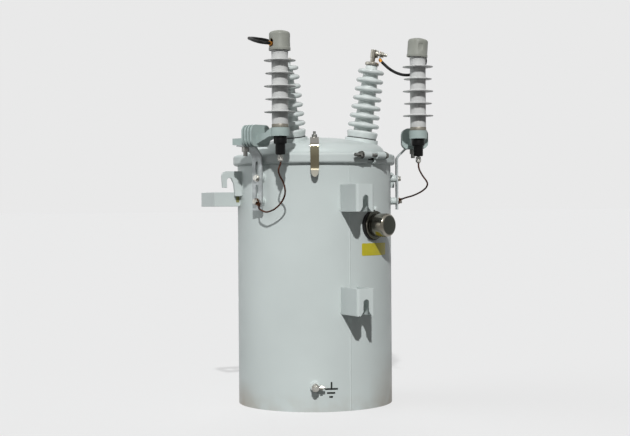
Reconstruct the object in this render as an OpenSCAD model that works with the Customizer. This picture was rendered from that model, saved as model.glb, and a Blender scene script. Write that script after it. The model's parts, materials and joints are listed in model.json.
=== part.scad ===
// Single-phase pole mounted transformer with two bushings and two surge arresters.
// Millimetres, +Z up. The origin is on the tank axis at the floor, and -Y is the pole side.
// Outlines named (r, z) are drawn radially outward along -Y, then turned to their azimuth.

/* [Tank] */
// Outside radius of the tank
tank_r = 225; // [215:1:240]
// Height of the tank's top lip above the floor
tank_h = 701.5; // [660:0.5:760]
// Thickness of the tank wall
tank_wall = 4; // [3:0.5:6]
// Reach of the tank's top lip beyond the wall
lip_reach = 4.2; // [3:0.1:4.5]
// Thickness of the tank's top lip
lip_t = 6; // [4:0.5:8]
// Height of the bottom plate above the floor
bottom_recess = 12; // [8:1:25]
// Thickness of the bottom plate
bottom_t = 5; // [4:0.5:8]
// Width of the weld seam bead
seam_w = 5; // [3:0.5:8]
// Height of the weld seam bead above the wall
seam_proud = 1; // [0.6:0.1:1.6]

/* [Lid and clamp band] */
// Thickness of the lid sheet
lid_t = 3; // [2.5:0.5:5]
// Height of the lid's rolled edge
lid_edge_h = 10; // [8:0.5:14]
// Distance from the tank wall in to the lid's upstand
lid_inset = 17; // [15:0.5:19]
// Height of the lid's upstand above its rolled edge
lid_upstand_h = 2; // [0:0.5:6]
// Corner radius of the lid's shoulder
lid_shoulder_r = 32; // [26:1:36]
// Slope of the dome where it meets the shoulder
lid_slope = 14; // [12:0.5:16]
// Thickness of the lid gasket
gasket_t = 8; // [5:0.5:10]
// Width of the lid gasket
gasket_w = 13; // [10:0.5:14]
// Outside radius of the clamp band beyond the tank wall
band_proud = 12.5; // [12:0.5:15]
// Thickness of the clamp band
band_t = 3; // [2.5:0.5:4]
// Corner radius of the clamp band
band_corner_r = 8; // [6:0.5:8.5]
// Azimuth of the clamp band joint
band_joint_az = 17; // [14:0.5:22]
// Opening between the ends of the clamp band
band_gap = 26; // [18:1:32]
// Outside diameter of the clamp sleeves
sleeve_d = 20; // [18:0.5:24]
// Length of a clamp sleeve
sleeve_len = 31; // [26:1:40]
// Diameter of the clamp bolt
clamp_bolt_d = 10; // [8:0.5:12]

/* [Pole hangers] */
// Distance between the two hanger bolt seats
hanger_pitch = 286; // [270:1:300]
// Depth of the upper bolt seat below the tank's lip
hanger_drop = 98.5; // [85:0.5:115]
// Reach of the hanger face beyond the tank wall
hanger_reach = 96; // [80:1:120]
// Width of a hanger
hanger_w = 55; // [48:1:70]
// Thickness of the hanger plate
hanger_t = 6; // [5:0.5:8]
// Outside bend radius of the hanger plate
hanger_bend_r = 8; // [8:0.5:12]
// Height of a hanger above its bolt seat
hanger_above = 30; // [24:1:40]
// Height of a hanger below its bolt seat
hanger_below = 46; // [42:1:60]
// Width of the hanger slot
slot_w = 17.5; // [14:0.5:22]
// Width of the hanger's flared mouth
mouth_w = 34; // [28:1:40]
// Height of the hanger's flared mouth
mouth_h = 13; // [8:1:18]

/* [Lifting lugs] */
// Azimuth of the lifting lugs
lug_az = 95; // [90:0.5:95]
// Reach of a lifting lug beyond the tank wall
lug_reach = 60; // [56:1:66]
// Thickness of a lifting lug
lug_t = 10; // [8:0.5:14]
// Depth of the top of a lifting lug below the tank's lip
lug_drop = 26; // [24:0.5:32]
// Height of a lifting lug
lug_h = 72; // [68:1:80]
// Width of the hook's tip
lug_tip_w = 15.5; // [14:0.5:18]
// Width of the hook's mouth
lug_mouth_w = 15.5; // [14:0.5:18]
// Thickness of the hook over its mouth
lug_crown_h = 19; // [17:0.5:22]
// Length of the hook's tip from the top of the lug
lug_tip_len = 47.5; // [44:0.5:52]
// Width of the lug's leg at its foot
lug_foot_w = 20; // [18:0.5:24]

/* [Side bracket] */
// Height of the side bracket's flat bar
side_h = 41; // [34:1:50]
// Thickness of the side bracket's flat bar
side_t = 6; // [5:0.5:8]
// Depth of the side bracket's top below the tank's lip
side_drop = 86.5; // [78:0.5:100]
// Reach of the side bracket beyond the tank wall
side_reach = 78; // [65:1:95]
// Offset of the side bracket's front leg behind the tank axis
side_front = 35; // [25:1:45]
// Length of the side bracket's end
side_len = 98; // [85:1:110]

/* [Lid strap] */
// Azimuth of the lid strap
strap_az = -25.5; // [-30:0.5:-21]
// Width of the lid strap
strap_w = 28; // [20:1:30]
// Thickness of the lid strap
strap_t = 2.5; // [2:0.5:4]
// Depth of the strap's bolt inside the tank wall
strap_bolt_in = 33; // [30:1:36]
// Height of the strap's seat above the clamp band
strap_rise = 42; // [40:1:46]
// Height of the strap's upper bend above the clamp band
strap_bend_rise = 22; // [18:1:28]
// Drop of the strap's lower bend below the clamp band
strap_drop = 11; // [8:1:16]
// Length of the strap's tongue
strap_tongue = 32; // [28:1:38]
// Reach of the tongue's end beyond the strap
strap_flare = 8; // [5:0.5:12]

/* [High-voltage bushings] */
// Azimuth of each bushing from the pole side
bushing_az = 54; // [48:0.5:62]
// Distance of a bushing's seat in from the tank wall
bushing_inset = 83; // [78:0.5:90]
// Outward lean of a bushing
bushing_tilt = 8.5; // [5:0.5:12]
// Height of a bushing's seat above the clamp band
bushing_rise = 46.5; // [44:0.5:50]
// Diameter of a bushing's base flange
bushing_base_d = 91; // [86:1:96]
// Height of a bushing's base flange
bushing_base_h = 23; // [18:1:28]
// Number of sheds on a bushing
bushing_sheds = 7; // [5:1:8]
// Distance between the sheds of a bushing
bushing_pitch = 26.2; // [24:0.1:28]
// Diameter of a bushing's lowest shed
bushing_shed_d = 92; // [86:1:96]
// Diameter of a bushing's highest shed
bushing_top_shed_d = 77; // [70:1:80]
// Thickness of a bushing shed at its rim
bushing_shed_t = 13; // [10:0.5:14]
// Diameter of a bushing's core at its foot
bushing_core_d = 54; // [48:1:60]
// Diameter of a bushing's core at its top
bushing_top_core_d = 44; // [40:1:50]
// Diameter of the metal cap on a bushing
bushing_cap_d = 41; // [36:1:46]
// Height of the metal cap on a bushing
bushing_cap_h = 9; // [7:0.5:12]
// Thickness of a bushing's gasket
bushing_gasket_t = 2.5; // [2:0.5:4]
// Diameter of a bushing's stud
bushing_stud_d = 14; // [12:0.5:18]
// Height of a bushing's stud below its socket
bushing_stud_h = 13; // [9:0.5:18]
// Diameter of the terminal's socket
socket_d = 17; // [15:0.5:20]
// Height of the terminal's socket
socket_h = 24; // [22:0.5:28]
// Diameter of the hole in the terminal's socket
socket_hole_d = 9; // [7:0.5:10]

/* [Surge arresters] */
// Azimuth of each arrester bracket from the pole side
set_az = 66.6; // [62:0.2:70]
// Distance of an arrester arm's axis beyond the tank wall
arm_out = 68; // [64:0.5:74]
// Distance of an arrester along its arm from the bracket
arrester_along = 131; // [124:1:140]
// Height of an arrester's seat above the clamp band
arrester_rise = 64.2; // [62:0.2:68]
// Diameter of an arrester's core
arrester_d = 45; // [40:1:50]
// Length of an arrester's shedded housing
arrester_len = 200; // [190:1:215]
// Distance between the sheds of an arrester
arrester_pitch = 35; // [32:0.5:38]
// Diameter of an arrester's wide sheds
arrester_shed_d = 87; // [80:1:94]
// Diameter of an arrester's narrow sheds
arrester_small_shed_d = 80; // [72:1:84]
// Thickness of an arrester shed at its rim
arrester_shed_t = 2.4; // [2:0.2:4]
// Height of the metal collar under an arrester
collar_h = 10; // [7:0.5:14]
// Diameter of an arrester's cap
cap_d = 57.5; // [54:0.5:62]
// Height of an arrester's cap
cap_h = 55; // [50:1:62]
// Wall of an arrester's cap
cap_wall = 3; // [2:0.5:4]
// Width of the lead slot in an arrester's cap
cap_slot_w = 15; // [14:0.5:17]
// Height of the lead slot in an arrester's cap
cap_slot_h = 22; // [18:1:24]
// Height of the metal neck under an arrester's cap
neck_h = 9; // [6:0.5:12]

/* [Arrester brackets] */
// Width of the bracket strip
strip_w = 36; // [32:1:42]
// Thickness of the bracket strip
strip_t = 5; // [4:0.5:6]
// Stand-off of the bracket strip from the tank wall
strip_off = 17; // [14:0.5:20]
// Depth of the strip's lower bolt below the tank's lip
strip_low_drop = 114.5; // [108:0.5:122]
// Distance between the strip's two bolts
strip_bolt_pitch = 66; // [60:0.5:72]
// Length of each slot in the strip
strip_slot_len = 52; // [40:1:54]
// Diameter of the strip's bolts
strip_bolt_d = 9; // [8:0.5:10]
// Diameter of the welded bosses behind the strip
boss_d = 21; // [18:1:28]
// Height of the arm's end block
block_h = 18; // [15:0.5:22]
// Radial width of the arm's end block
block_w = 30; // [26:1:36]
// Length of the end block outside the bracket bolt
block_back = 35; // [24:1:40]
// Diameter of the bracket bolt
arm_bolt_d = 12; // [10:0.5:14]
// Number of fins on an arm
fins = 4; // [2:1:4]
// Distance between the fins
fin_pitch = 11; // [9:0.5:12]
// Thickness of a fin
fin_t = 5; // [4:0.5:6]
// Radial width of a fin
fin_w = 76; // [66:1:84]
// Height of a fin
fin_h = 60; // [54:1:66]
// Corner radius of a fin
fin_r = 18; // [12:1:22]
// Diameter of the arm's pad under the arrester
pad_d = 51; // [48:1:56]
// Thickness of the arm's pad
pad_h = 23; // [18:1:26]
// Diameter of the disconnector's head
disc_d = 36; // [32:1:40]
// Diameter of the disconnector's body
disc_body_d = 27; // [24:1:30]
// Height of the disconnector's head
disc_head_h = 21; // [17:1:25]
// Height of the disconnector's body
disc_body_h = 29; // [24:1:34]
// Diameter of the disconnector's stud
disc_stud_d = 9; // [8:0.5:11]
// Length of the disconnector's stud
disc_stud_len = 20; // [17:1:24]

/* [Tap changer] */
// Azimuth of the tap changer
tap_az = 21.5; // [19:0.5:25]
// Depth of the tap changer below the tank's lip
tap_drop = 183; // [172:1:196]
// Diameter of the tap changer's flange
tap_flange_d = 86; // [80:1:94]
// Reach of the tap changer's flange beyond the tank wall
tap_flange_t = 5; // [4:0.5:8]
// Diameter of the tap changer's cap
tap_cap_d = 66; // [60:1:72]
// Length of the tap changer's cap
tap_cap_len = 56; // [48:1:64]
// Diameter of the ring at the foot of the cap
tap_ring_d = 80; // [74:1:86]
// Thickness of the ring at the foot of the cap
tap_ring_t = 7; // [4:0.5:9]
// Corner radius of the tap changer's cap
tap_cap_r = 9; // [5:0.5:12]

/* [Earth terminal] */
// Azimuth of the earth terminal
earth_az = -26; // [-30:0.5:-22]
// Height of the earth terminal above the floor
earth_z = 71; // [60:1:85]
// Diameter of the earth boss
earth_boss_d = 28; // [24:1:32]
// Reach of the earth boss beyond the tank wall
earth_boss_t = 12; // [9:0.5:15]
// Diameter of the earth clamp's body
earth_clamp_d = 21; // [18:0.5:23]
// Length of the earth clamp's body
earth_clamp_len = 20; // [17:0.5:26]
// Diameter of the hole through the earth clamp
earth_hole_d = 10; // [8:0.5:11]

/* [Low-voltage bushings] */
// Angle between the low-voltage bushings
lv_step = 22; // [20:1:26]
// Number of low-voltage bushings
lv_count = 3; // [1:1:3]
// Depth of the low-voltage bushings below the tank's lip
lv_drop = 101; // [90:1:115]
// Diameter of a low-voltage bushing's flange
lv_flange_d = 66; // [58:1:72]
// Reach of a low-voltage bushing's flange beyond the tank wall
lv_flange_t = 11; // [10:0.5:14]
// Diameter of a low-voltage bushing's body
lv_body_d = 44; // [38:1:50]
// Length of a low-voltage bushing's body
lv_body_len = 28; // [22:1:34]
// Diameter of a low-voltage terminal eye
lv_eye_d = 28; // [24:1:32]
// Diameter of the hole through a low-voltage terminal
lv_hole_d = 16; // [12:0.5:18]

/* [Leads] */
// Diameter of the insulated jumpers
jumper_d = 8.5; // [7:0.5:9]
// Diameter of the stranded earth leads
earth_lead_d = 4; // [3.5:0.5:4]

/* [Fits] */
// Gap left between seated pieces
fit = 0.3; // [0.2:0.05:0.4]

/* [Hidden] */
$fn = 64;

// Colours
paint = [0.75, 0.79, 0.78];
sage = [0.62, 0.68, 0.67];
porcelain = [0.81, 0.85, 0.84];
polymer = [0.74, 0.74, 0.74];
olive = [0.55, 0.56, 0.53];
steel = [0.62, 0.62, 0.60];
black = [0.12, 0.12, 0.12];
copper = [0.60, 0.38, 0.22];
brown = [0.36, 0.22, 0.17];

// Overrun of every cut
over = 2;
// Points along a quarter of a rounded corner
corner_steps = 6;

// Heights of the tank top, the lid and the clamp band
lip_z = tank_h - lip_t;
lid_z = tank_h + gasket_t;
lid_edge_z = lid_z + lid_edge_h;
band_z = lip_z - fit - band_t;
band_top = lid_edge_z + fit + band_t;
edge_r = tank_r + lip_reach;
band_r = tank_r + band_proud;
upstand_r = tank_r - lid_inset;
shoulder_z = lid_edge_z + lid_upstand_h + lid_shoulder_r;
dome_r = upstand_r - lid_shoulder_r;

// Clamp band joint
band_lap = 2;
sleeve_r = band_r + sleeve_d / 2 - band_t;
sleeve_z = band_top - sleeve_d / 2 + band_t;
clamp_nut_d = 19;
clamp_nut_h = 9;
clamp_washer_d = 22;
clamp_washer_h = 2;
clamp_tail = 16;

// Bolt seats of the two hangers
seat_upper_z = tank_h - hanger_drop;
seat_lower_z = seat_upper_z - hanger_pitch;
hanger_r = tank_r + hanger_reach;
hanger_h = hanger_above + hanger_below;

// Lifting lug
lug_top = tank_h - lug_drop;
lug_r = tank_r + lug_reach;
lug_corner_r = 15;
lug_mouth_flare = 9;

// Side bracket
side_z = tank_h - side_drop - side_h;
side_x = tank_r + side_reach;

// Lid strap and its bolt
strap_r = band_r + strap_t + strap_t / 2;
strap_bolt_r = tank_r - strap_bolt_in;
strap_seat_z = band_top + strap_rise;
strap_end = 12;
strap_land = 13;
strap_boss_d = 20;
strap_bolt_d = 8;
strap_nut_d = 15;
strap_nut_h = 7;
strap_bolt_tail = 9;

// High-voltage bushing, along its own axis from the seat on the lid
bushing_r = tank_r - bushing_inset;
bushing_seat_z = band_top + bushing_rise;
bushing_pad_d = bushing_base_d + 2 * lid_t;
bushing_pad_t = 18;
bushing_edge_r = 5;
shed_first = 40;
shed_root_share = 0.8;
bushing_neck_d = 34;
shed_under_share = 0.55;
bushing_neck = 20;
bushing_top = shed_first + (bushing_sheds - 1) * bushing_pitch + bushing_neck;
bushing_cap_bevel = 3;
socket_at = bushing_top + bushing_cap_h + bushing_stud_h + socket_h / 2;
socket_hole_len = 18;
saddle_d = 22;
saddle_t = 7;
saddle_sink = 1.5;
saddle_face = socket_d / 2 + saddle_t - saddle_sink;
socket_bolt_d = 9;
socket_bolt_len = 26;
socket_nut_d = 18;
socket_nut_h = 8;
lug_gap = 5;
lug_plate_t = 2.5;
socket_nut_from = saddle_face + lug_gap + lug_plate_t + fit;
lug_plate_d = 18;
lug_plate_w = 12;
lug_plate_len = 16;
lug_barrel_d = 10;
earth_barrel_d = 7;
lug_barrel_from = 13;
lug_barrel_len = 9;
lug_barrel_tilt = 36.87;
lug_turn_right = 0;
lug_turn_left = 140;
earth_turn_right = 105;
earth_turn_left = 52;

// Arrester, up its own axis
arm_r = tank_r + arm_out;
arrester_seat_z = band_top + arrester_rise;
housing_z = arrester_seat_z + collar_h;
housing_len = arrester_len - neck_h;
arrester_first = 32.5;
arrester_top_clear = 12;
arrester_sheds = 1 + floor((housing_len - arrester_first - arrester_top_clear) / arrester_pitch);
arrester_root_share = 2.2;
neck_z = housing_z + housing_len;
cap_z = neck_z + neck_h;
neck_in_cap = 9;
neck_d = arrester_d + 1;
cap_top_r = 8;
cap_slope = 20;
cap_big_r = (cap_d / 2 - cap_top_r * (1 - sin(cap_slope))) / sin(cap_slope);
cap_hub_z = cap_h - cap_top_r * cos(cap_slope) - cap_big_r * (1 - cos(cap_slope));
cap_room_h = cap_hub_z + cap_top_r - cap_wall;
cap_play = 0.5;
cap_skirt = 1;
cap_skirt_h = 7;
cap_slot_up = 20;
cap_panel_up = 27;
cap_panel_in = 1.4;
cap_panel_turn = 147.6;
cap_turn_right = 68.4;
cap_turn_left = 11.4;
cap_lean_right = 4;
cap_lean_left = 0;
ferrule_d = 12.5;
ferrule_up = 17.5;
ferrule_len = 27.7;
terminal_d = 12;
terminal_nut_d = 22;
terminal_nut_h = 3;

// Arrester arm, along t from the bracket bolt towards the arrester
pad_z = arrester_seat_z - pad_h;
arm_drop = 19;
block_z = pad_z - arm_drop;
fin_from = 21;
fin_end = fin_from + (fins - 1) * fin_pitch + fin_t;
fin_drop = 7;
beam_h = 28;
beam_w = 34;
ramp_in = 43;
shoulder_in = 19;
arm_nut_d = 21;
arm_head_h = 8;
arm_nut_h = 14;
arm_bolt_tail = 12;

// Bracket strip, from its foot up and out to the tab under the arm
strip_face_r = tank_r + strip_off;
strip_r = strip_face_r + strip_t / 2;
strip_low_z = tank_h - strip_low_drop;
strip_foot = 25;
strip_lean = 27.5;
strip_tab_z = block_z - fit - strip_t / 2;
strip_tab_over = 17;
strip_slot_w = strip_bolt_d + 1;
strip_head_d = 16;
strip_head_h = 7;
strip_washer_d = 20;
strip_washer_h = 2;

// Disconnector
disc_bevel = 2;
disc_nut_d = 16;
disc_nut_h = 7;
disc_stud_z = pad_z - disc_head_h - disc_body_h;

// Tap changer
tap_z = tank_h - tap_drop;
tap_groove = 2;
tap_groove_at = tap_ring_t + tap_groove;

// Earth clamp
earth_head_d = 13;
earth_head_len = 10;
earth_screw_d = 8;
earth_screw_len = 27;
earth_nut_d = 15;
earth_nut_h = 7;
earth_nut_from = 13;

// Low-voltage bushing
lv_z = tank_h - lv_drop;
lv_ring = 3;
lv_stud_d = 12;
lv_stud_len = 5;
lv_eye_w = 22;

// Routes of the leads
right_jumper_route = [[164.4, -119.7, 993.1], [170, -126, 985], [178.5, -135, 974],
    [189, -145.5, 964], [200.5, -155.5, 957], [213, -165, 953], [227, -175, 953], [240, -185, 957],
    [249.5, -193, 966], [258, -201.5, 977], [261, -206, 988], [260, -206.5, 999],
    [257, -205, 1007.5], [252, -204, 1012.5], [247, -206.5, 1014.5], [240.9, -212.6, 1014.5]];
left_jumper_route = [[-176.4, -112.7, 1029.1], [-186.5, -112, 1035.5], [-198, -112, 1039.5],
    [-212, -113, 1041.5], [-226, -116, 1042], [-240, -122, 1042], [-253, -131, 1041],
    [-264, -143, 1039], [-273, -157, 1037], [-279, -173, 1034], [-281.5, -190, 1030],
    [-282.5, -206.5, 1025.5], [-279.5, -222, 1021], [-273, -235, 1017], [-263, -242.5, 1015],
    [-250.2, -243.8, 1014.5]];
right_earth_route = [[217, -237, 694], [217, -237, 687], [219, -236, 679], [225, -235, 668],
    [236, -232, 655], [247, -228, 645], [255, -222, 636], [258, -212, 627], [257, -199, 619],
    [253, -185, 612], [247, -171, 606], [240, -157, 601], [234, -144, 598], [230, -131, 595],
    [227, -120, 592]];
left_earth_route = [[-217, -237, 694], [-217, -237, 689], [-220, -236, 681], [-222, -235, 671],
    [-217, -232, 657], [-207, -229, 642], [-199, -224, 626], [-195, -218, 610], [-195, -208, 595],
    [-199, -196, 581], [-206, -182, 569], [-215, -168, 561], [-224, -154, 558], [-230, -140, 562],
    [-233, -127, 568], [-229, -116, 575]];

// Points along an arc of radius r about c
function arc(c, r, from, to) = [for (i = [0 : corner_steps])
    let (a = from + (to - from) * i / corner_steps) c + r * [cos(a), sin(a)]];

// Direction from a to b
function heading(a, b) = (b - a) / norm(b - a);

// A bent line moved sideways by off, mitred at its bends
function moved(path, off) = let (last = len(path) - 1) [for (i = [0 : last])
    let (into = heading(path[max(i - 1, 0)], path[max(i, 1)]),
        out = heading(path[min(i, last - 1)], path[min(i + 1, last)]),
        mid = (into + out) / norm(into + out))
    path[i] + off / (mid * into) * [-mid.y, mid.x]];

// Outline of a strip of thickness t along a bent line
function strip_outline(path, t) = concat(moved(path, t / 2), [for (i = [len(path) - 1 : -1 : 0])
    moved(path, -t / 2)[i]]);

// A value between two others
function blend(a, b, share) = a + (b - a) * share;

// Draws an (r, z) outline as a plate of the given width across the radius
module upright(w) rotate([90, 0, -90]) linear_extrude(w, center = true) children();

// Turns what is drawn up Z to lie outward along the radius
module outward() rotate([90, 0, 0]) children();

// A rounded rectangle about its centre
module rounded(w, h, r) {
    square([w - 2 * r, h], center = true);
    square([w, h - 2 * r], center = true);
    for (x = [-1, 1], y = [-1, 1])
        translate([x * (w / 2 - r), y * (h / 2 - r)]) circle(r);
}

// A hexagon head or nut on a round shank
module hexagon(d, h) cylinder(d = d, h = h, $fn = 6);

// The space of the tank, with the gap that seated pieces keep from it
module tank_space() translate([0, 0, -over]) cylinder(r = tank_r + fit, h = tank_h + over, $fn = 128);

// A tube swept along a route, with a ring at each point
module lead(route, d, sides) {
    last = len(route) - 1;
    rings = [for (i = [0 : last])
        let (t = heading(route[max(i - 1, 0)], route[min(i + 1, last)]),
            side = cross(t, [0.3, 0.2, 1]), n = side / norm(side), b = cross(t, n))
        for (k = [0 : sides - 1])
            let (a = 360 * k / sides) route[i] + d / 2 * (cos(a) * n + sin(a) * b)];
    walls = [for (i = [0 : last - 1], k = [0 : sides - 1])
        let (m = (k + 1) % sides)
        [i * sides + k, (i + 1) * sides + k, (i + 1) * sides + m, i * sides + m]];
    ends = [[for (k = [0 : sides - 1]) k], [for (k = [sides - 1 : -1 : 0]) last * sides + k]];
    polyhedron(rings, concat(walls, ends));
}

// Tank wall with its outward lip and its weld seam
module tank_shell() color(paint) difference() {
    seam_r = (seam_w * seam_w / 4 + seam_proud * seam_proud) / (2 * seam_proud);
    union() {
        cylinder(r = tank_r, h = tank_h, $fn = 128);
        translate([0, 0, lip_z]) cylinder(r = edge_r, h = lip_t, $fn = 128);
        translate([0, seam_r - tank_r - seam_proud, 0]) cylinder(r = seam_r, h = lip_z);
    }
    translate([0, 0, -over]) cylinder(r = tank_r - tank_wall, h = tank_h + 2 * over, $fn = 128);
}

// Round bottom plate, set in above the foot of the wall
module tank_bottom() color(paint) translate([0, 0, bottom_recess])
    cylinder(r = tank_r - tank_wall - fit, h = bottom_t, $fn = 128);

// Outline of the lid's skin, moved in by the given depth, from the shoulder to the apex
function lid_skin(depth) =
    let (hub = [dome_r, lid_edge_z + lid_upstand_h],
        bend = lid_shoulder_r - depth,
        rim = dome_r + lid_shoulder_r * sin(lid_slope),
        big = rim / sin(lid_slope),
        centre = [0, hub.y + lid_shoulder_r * cos(lid_slope) - big * cos(lid_slope)])
    concat(arc(hub, bend, 0, 90 - lid_slope), arc(centre, big - depth, 90 - lid_slope, 90));

// Places a piece on the seat of the right bushing, up the bushing's own axis
module on_bushing() rotate([0, 0, bushing_az])
    translate([0, -bushing_r, bushing_seat_z]) rotate([bushing_tilt, 0, 0]) children();

// Domed lid with a rolled edge, raised bushing seats and the boss of the lid strap
module lid() color(paint) {
    inner = lid_skin(lid_t);
    last = len(inner) - 1;
    outline = concat([[upstand_r - lid_t, lid_z], [edge_r, lid_z], [edge_r, lid_edge_z],
        [upstand_r, lid_edge_z]], lid_skin(0), [for (i = [last : -1 : 0]) inner[i]]);
    rotate_extrude($fn = 128) polygon(outline);
    for (side = [0, 1]) mirror([side, 0, 0]) on_bushing()
        translate([0, 0, -bushing_pad_t]) cylinder(d = bushing_pad_d, h = bushing_pad_t);
    rotate([0, 0, strap_az]) translate([0, -strap_bolt_r, shoulder_z - lid_shoulder_r / 2])
        cylinder(d = strap_boss_d, h = strap_seat_z - shoulder_z + lid_shoulder_r / 2);
}

// Flat ring between the tank's lip and the lid
module lid_gasket() color(black) translate([0, 0, tank_h]) difference() {
    cylinder(r = edge_r, h = gasket_t, $fn = 128);
    translate([0, 0, -over]) cylinder(r = edge_r - gasket_w, h = gasket_t + 2 * over, $fn = 128);
}

// Channel band round the rim, split at its joint, with a sleeve on each end
module clamp_band() color(paint) {
    low = [band_r - band_corner_r, band_z + band_corner_r];
    high = [band_r - band_corner_r, band_top - band_corner_r];
    bend = band_corner_r - band_t;
    outline = concat([[upstand_r + band_lap, band_top - band_t], [upstand_r + band_lap, band_top]],
        arc(high, band_corner_r, 90, 0), arc(low, band_corner_r, 0, -90),
        [[tank_r + fit, band_z], [tank_r + fit, band_z + band_t]],
        arc(low, bend, -90, 0), arc(high, bend, 0, 90));
    difference() {
        union() {
            rotate_extrude($fn = 128) polygon(outline);
            on_joint() for (side = [-1, 1])
                translate([side * (band_gap + sleeve_len) / 2, 0, 0]) rotate([0, 90, 0])
                    cylinder(d = sleeve_d, h = sleeve_len, center = true);
        }
        on_joint() {
            cube([band_gap, 2 * sleeve_d + 2 * band_corner_r, 2 * (band_top - band_z)], center = true);
            rotate([0, 90, 0]) cylinder(d = clamp_bolt_d + 2 * fit,
                h = band_gap + 2 * sleeve_len + 2 * over, center = true);
        }
        clamp_stack();
    }
}

// Places a piece at the middle of the clamp bolt
module on_joint() rotate([0, 0, band_joint_az]) translate([0, -sleeve_r, sleeve_z]) children();

// The space of the lid, the gasket and the lip inside the clamp band
module clamp_stack() translate([0, 0, band_z + band_t])
    cylinder(r = edge_r + fit, h = band_top - band_z - 2 * band_t, $fn = 128);

// Tangential bolt that draws the clamp band together
module clamp_bolt() color(steel) on_joint() {
    half = band_gap / 2 + sleeve_len;
    grip = half + clamp_washer_h + fit;
    rotate([0, 90, 0]) {
        translate([0, 0, -grip - clamp_nut_h - clamp_tail])
            cylinder(d = clamp_bolt_d, h = 2 * grip + clamp_nut_h + clamp_tail + over);
        for (side = [0, 1]) mirror([0, 0, side]) translate([0, 0, half + fit]) {
            cylinder(d = clamp_washer_d, h = clamp_washer_h);
            translate([0, 0, clamp_washer_h]) hexagon(clamp_nut_d, clamp_nut_h);
        }
    }
}

// Bent hanger plate with an open slot up to its bolt seat
module hanger(seat_z) color(paint) difference() {
    half = hanger_w / 2;
    bend = hanger_bend_r - hanger_t;
    foot_z = seat_z - hanger_below;
    near = [half - hanger_bend_r, hanger_bend_r - hanger_r];
    far = [hanger_bend_r - half, hanger_bend_r - hanger_r];
    wall_y = hanger_w - tank_r;
    translate([0, 0, foot_z]) linear_extrude(hanger_h) polygon(concat(
        [[-half, wall_y]], arc(far, hanger_bend_r, 180, 270), arc(near, hanger_bend_r, 270, 360),
        [[half, wall_y], [half - hanger_t, wall_y]],
        arc(near, bend, 360, 270), arc(far, bend, 270, 180), [[hanger_t - half, wall_y]]));
    tank_space();
    translate([0, over - hanger_r + hanger_t, 0]) outward() linear_extrude(hanger_t + 2 * over) {
        translate([0, seat_z - slot_w / 2]) circle(d = slot_w);
        polygon([[-slot_w / 2, seat_z - slot_w / 2], [-slot_w / 2, foot_z + mouth_h],
            [-mouth_w / 2, foot_z], [-mouth_w / 2, foot_z - over], [mouth_w / 2, foot_z - over],
            [mouth_w / 2, foot_z], [slot_w / 2, foot_z + mouth_h], [slot_w / 2, seat_z - slot_w / 2]]);
    }
}
module hanger_upper() hanger(seat_upper_z);
module hanger_lower() hanger(seat_lower_z);

// Hook plate on the side of the tank, open downward
module lifting_lug() color(paint) rotate([0, 0, lug_az]) upright(lug_t) {
    tip_in = lug_r - lug_tip_w;
    mouth_r = lug_mouth_w / 2;
    hub = [tip_in - mouth_r, lug_top - lug_crown_h - mouth_r];
    polygon(concat([[tank_r + fit, lug_top - lug_h], [tank_r + lug_foot_w, lug_top - lug_h],
        [tip_in - lug_mouth_w - lug_mouth_flare / 2, hub.y - mouth_r]],
        arc(hub, mouth_r, 180, 0),
        [[tip_in, lug_top - lug_tip_len], [lug_r - lug_mouth_flare / 4, lug_top - lug_tip_len]],
        arc([lug_r - lug_corner_r, lug_top - lug_corner_r], lug_corner_r, 0, 90),
        [[tank_r + fit, lug_top]]));
}
module lifting_lug_right() lifting_lug();
module lifting_lug_left() mirror([1, 0, 0]) lifting_lug();

// Flat bar bent to a square loop on the left of the tank
module side_bracket() color(paint) difference() {
    far = side_front + side_len;
    end = side_t / 2 - side_x;
    translate([0, 0, side_z]) linear_extrude(side_h)
        polygon(strip_outline([[side_len - tank_r, side_front], [end, side_front], [end, far],
            [side_len - tank_r, far]], side_t));
    tank_space();
}

// Bent strap from the lid down over the clamp band, ending in a free tongue
module lid_strap() color(steel) rotate([0, 0, strap_az]) difference() {
    bend_z = band_z - strap_drop;
    top = strap_seat_z + strap_t / 2;
    intersection() {
        upright(strap_w) polygon(strip_outline([[strap_bolt_r - strap_end, top],
            [strap_bolt_r + strap_land, top], [strap_r, band_top + strap_bend_rise],
            [strap_r, bend_z], [strap_r + strap_flare, bend_z - strap_tongue]], strap_t));
        outward() linear_extrude(strap_r + 2 * strap_flare) {
            translate([0, bend_z - strap_tongue + strap_w / 2]) circle(d = strap_w);
            translate([-strap_w / 2, bend_z - strap_tongue + strap_w / 2])
                square([strap_w, top + strap_w]);
        }
    }
    translate([0, -strap_bolt_r, top - strap_w]) cylinder(d = strap_bolt_d + 2 * fit, h = 2 * strap_w);
}

// Stud and nut of the lid strap
module lid_strap_bolt() color(steel) rotate([0, 0, strap_az])
    translate([0, -strap_bolt_r, strap_seat_z]) {
        cylinder(d = strap_bolt_d, h = strap_t + strap_nut_h + strap_bolt_tail);
        translate([0, 0, strap_t + fit]) hexagon(strap_nut_d, strap_nut_h);
    }

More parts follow.
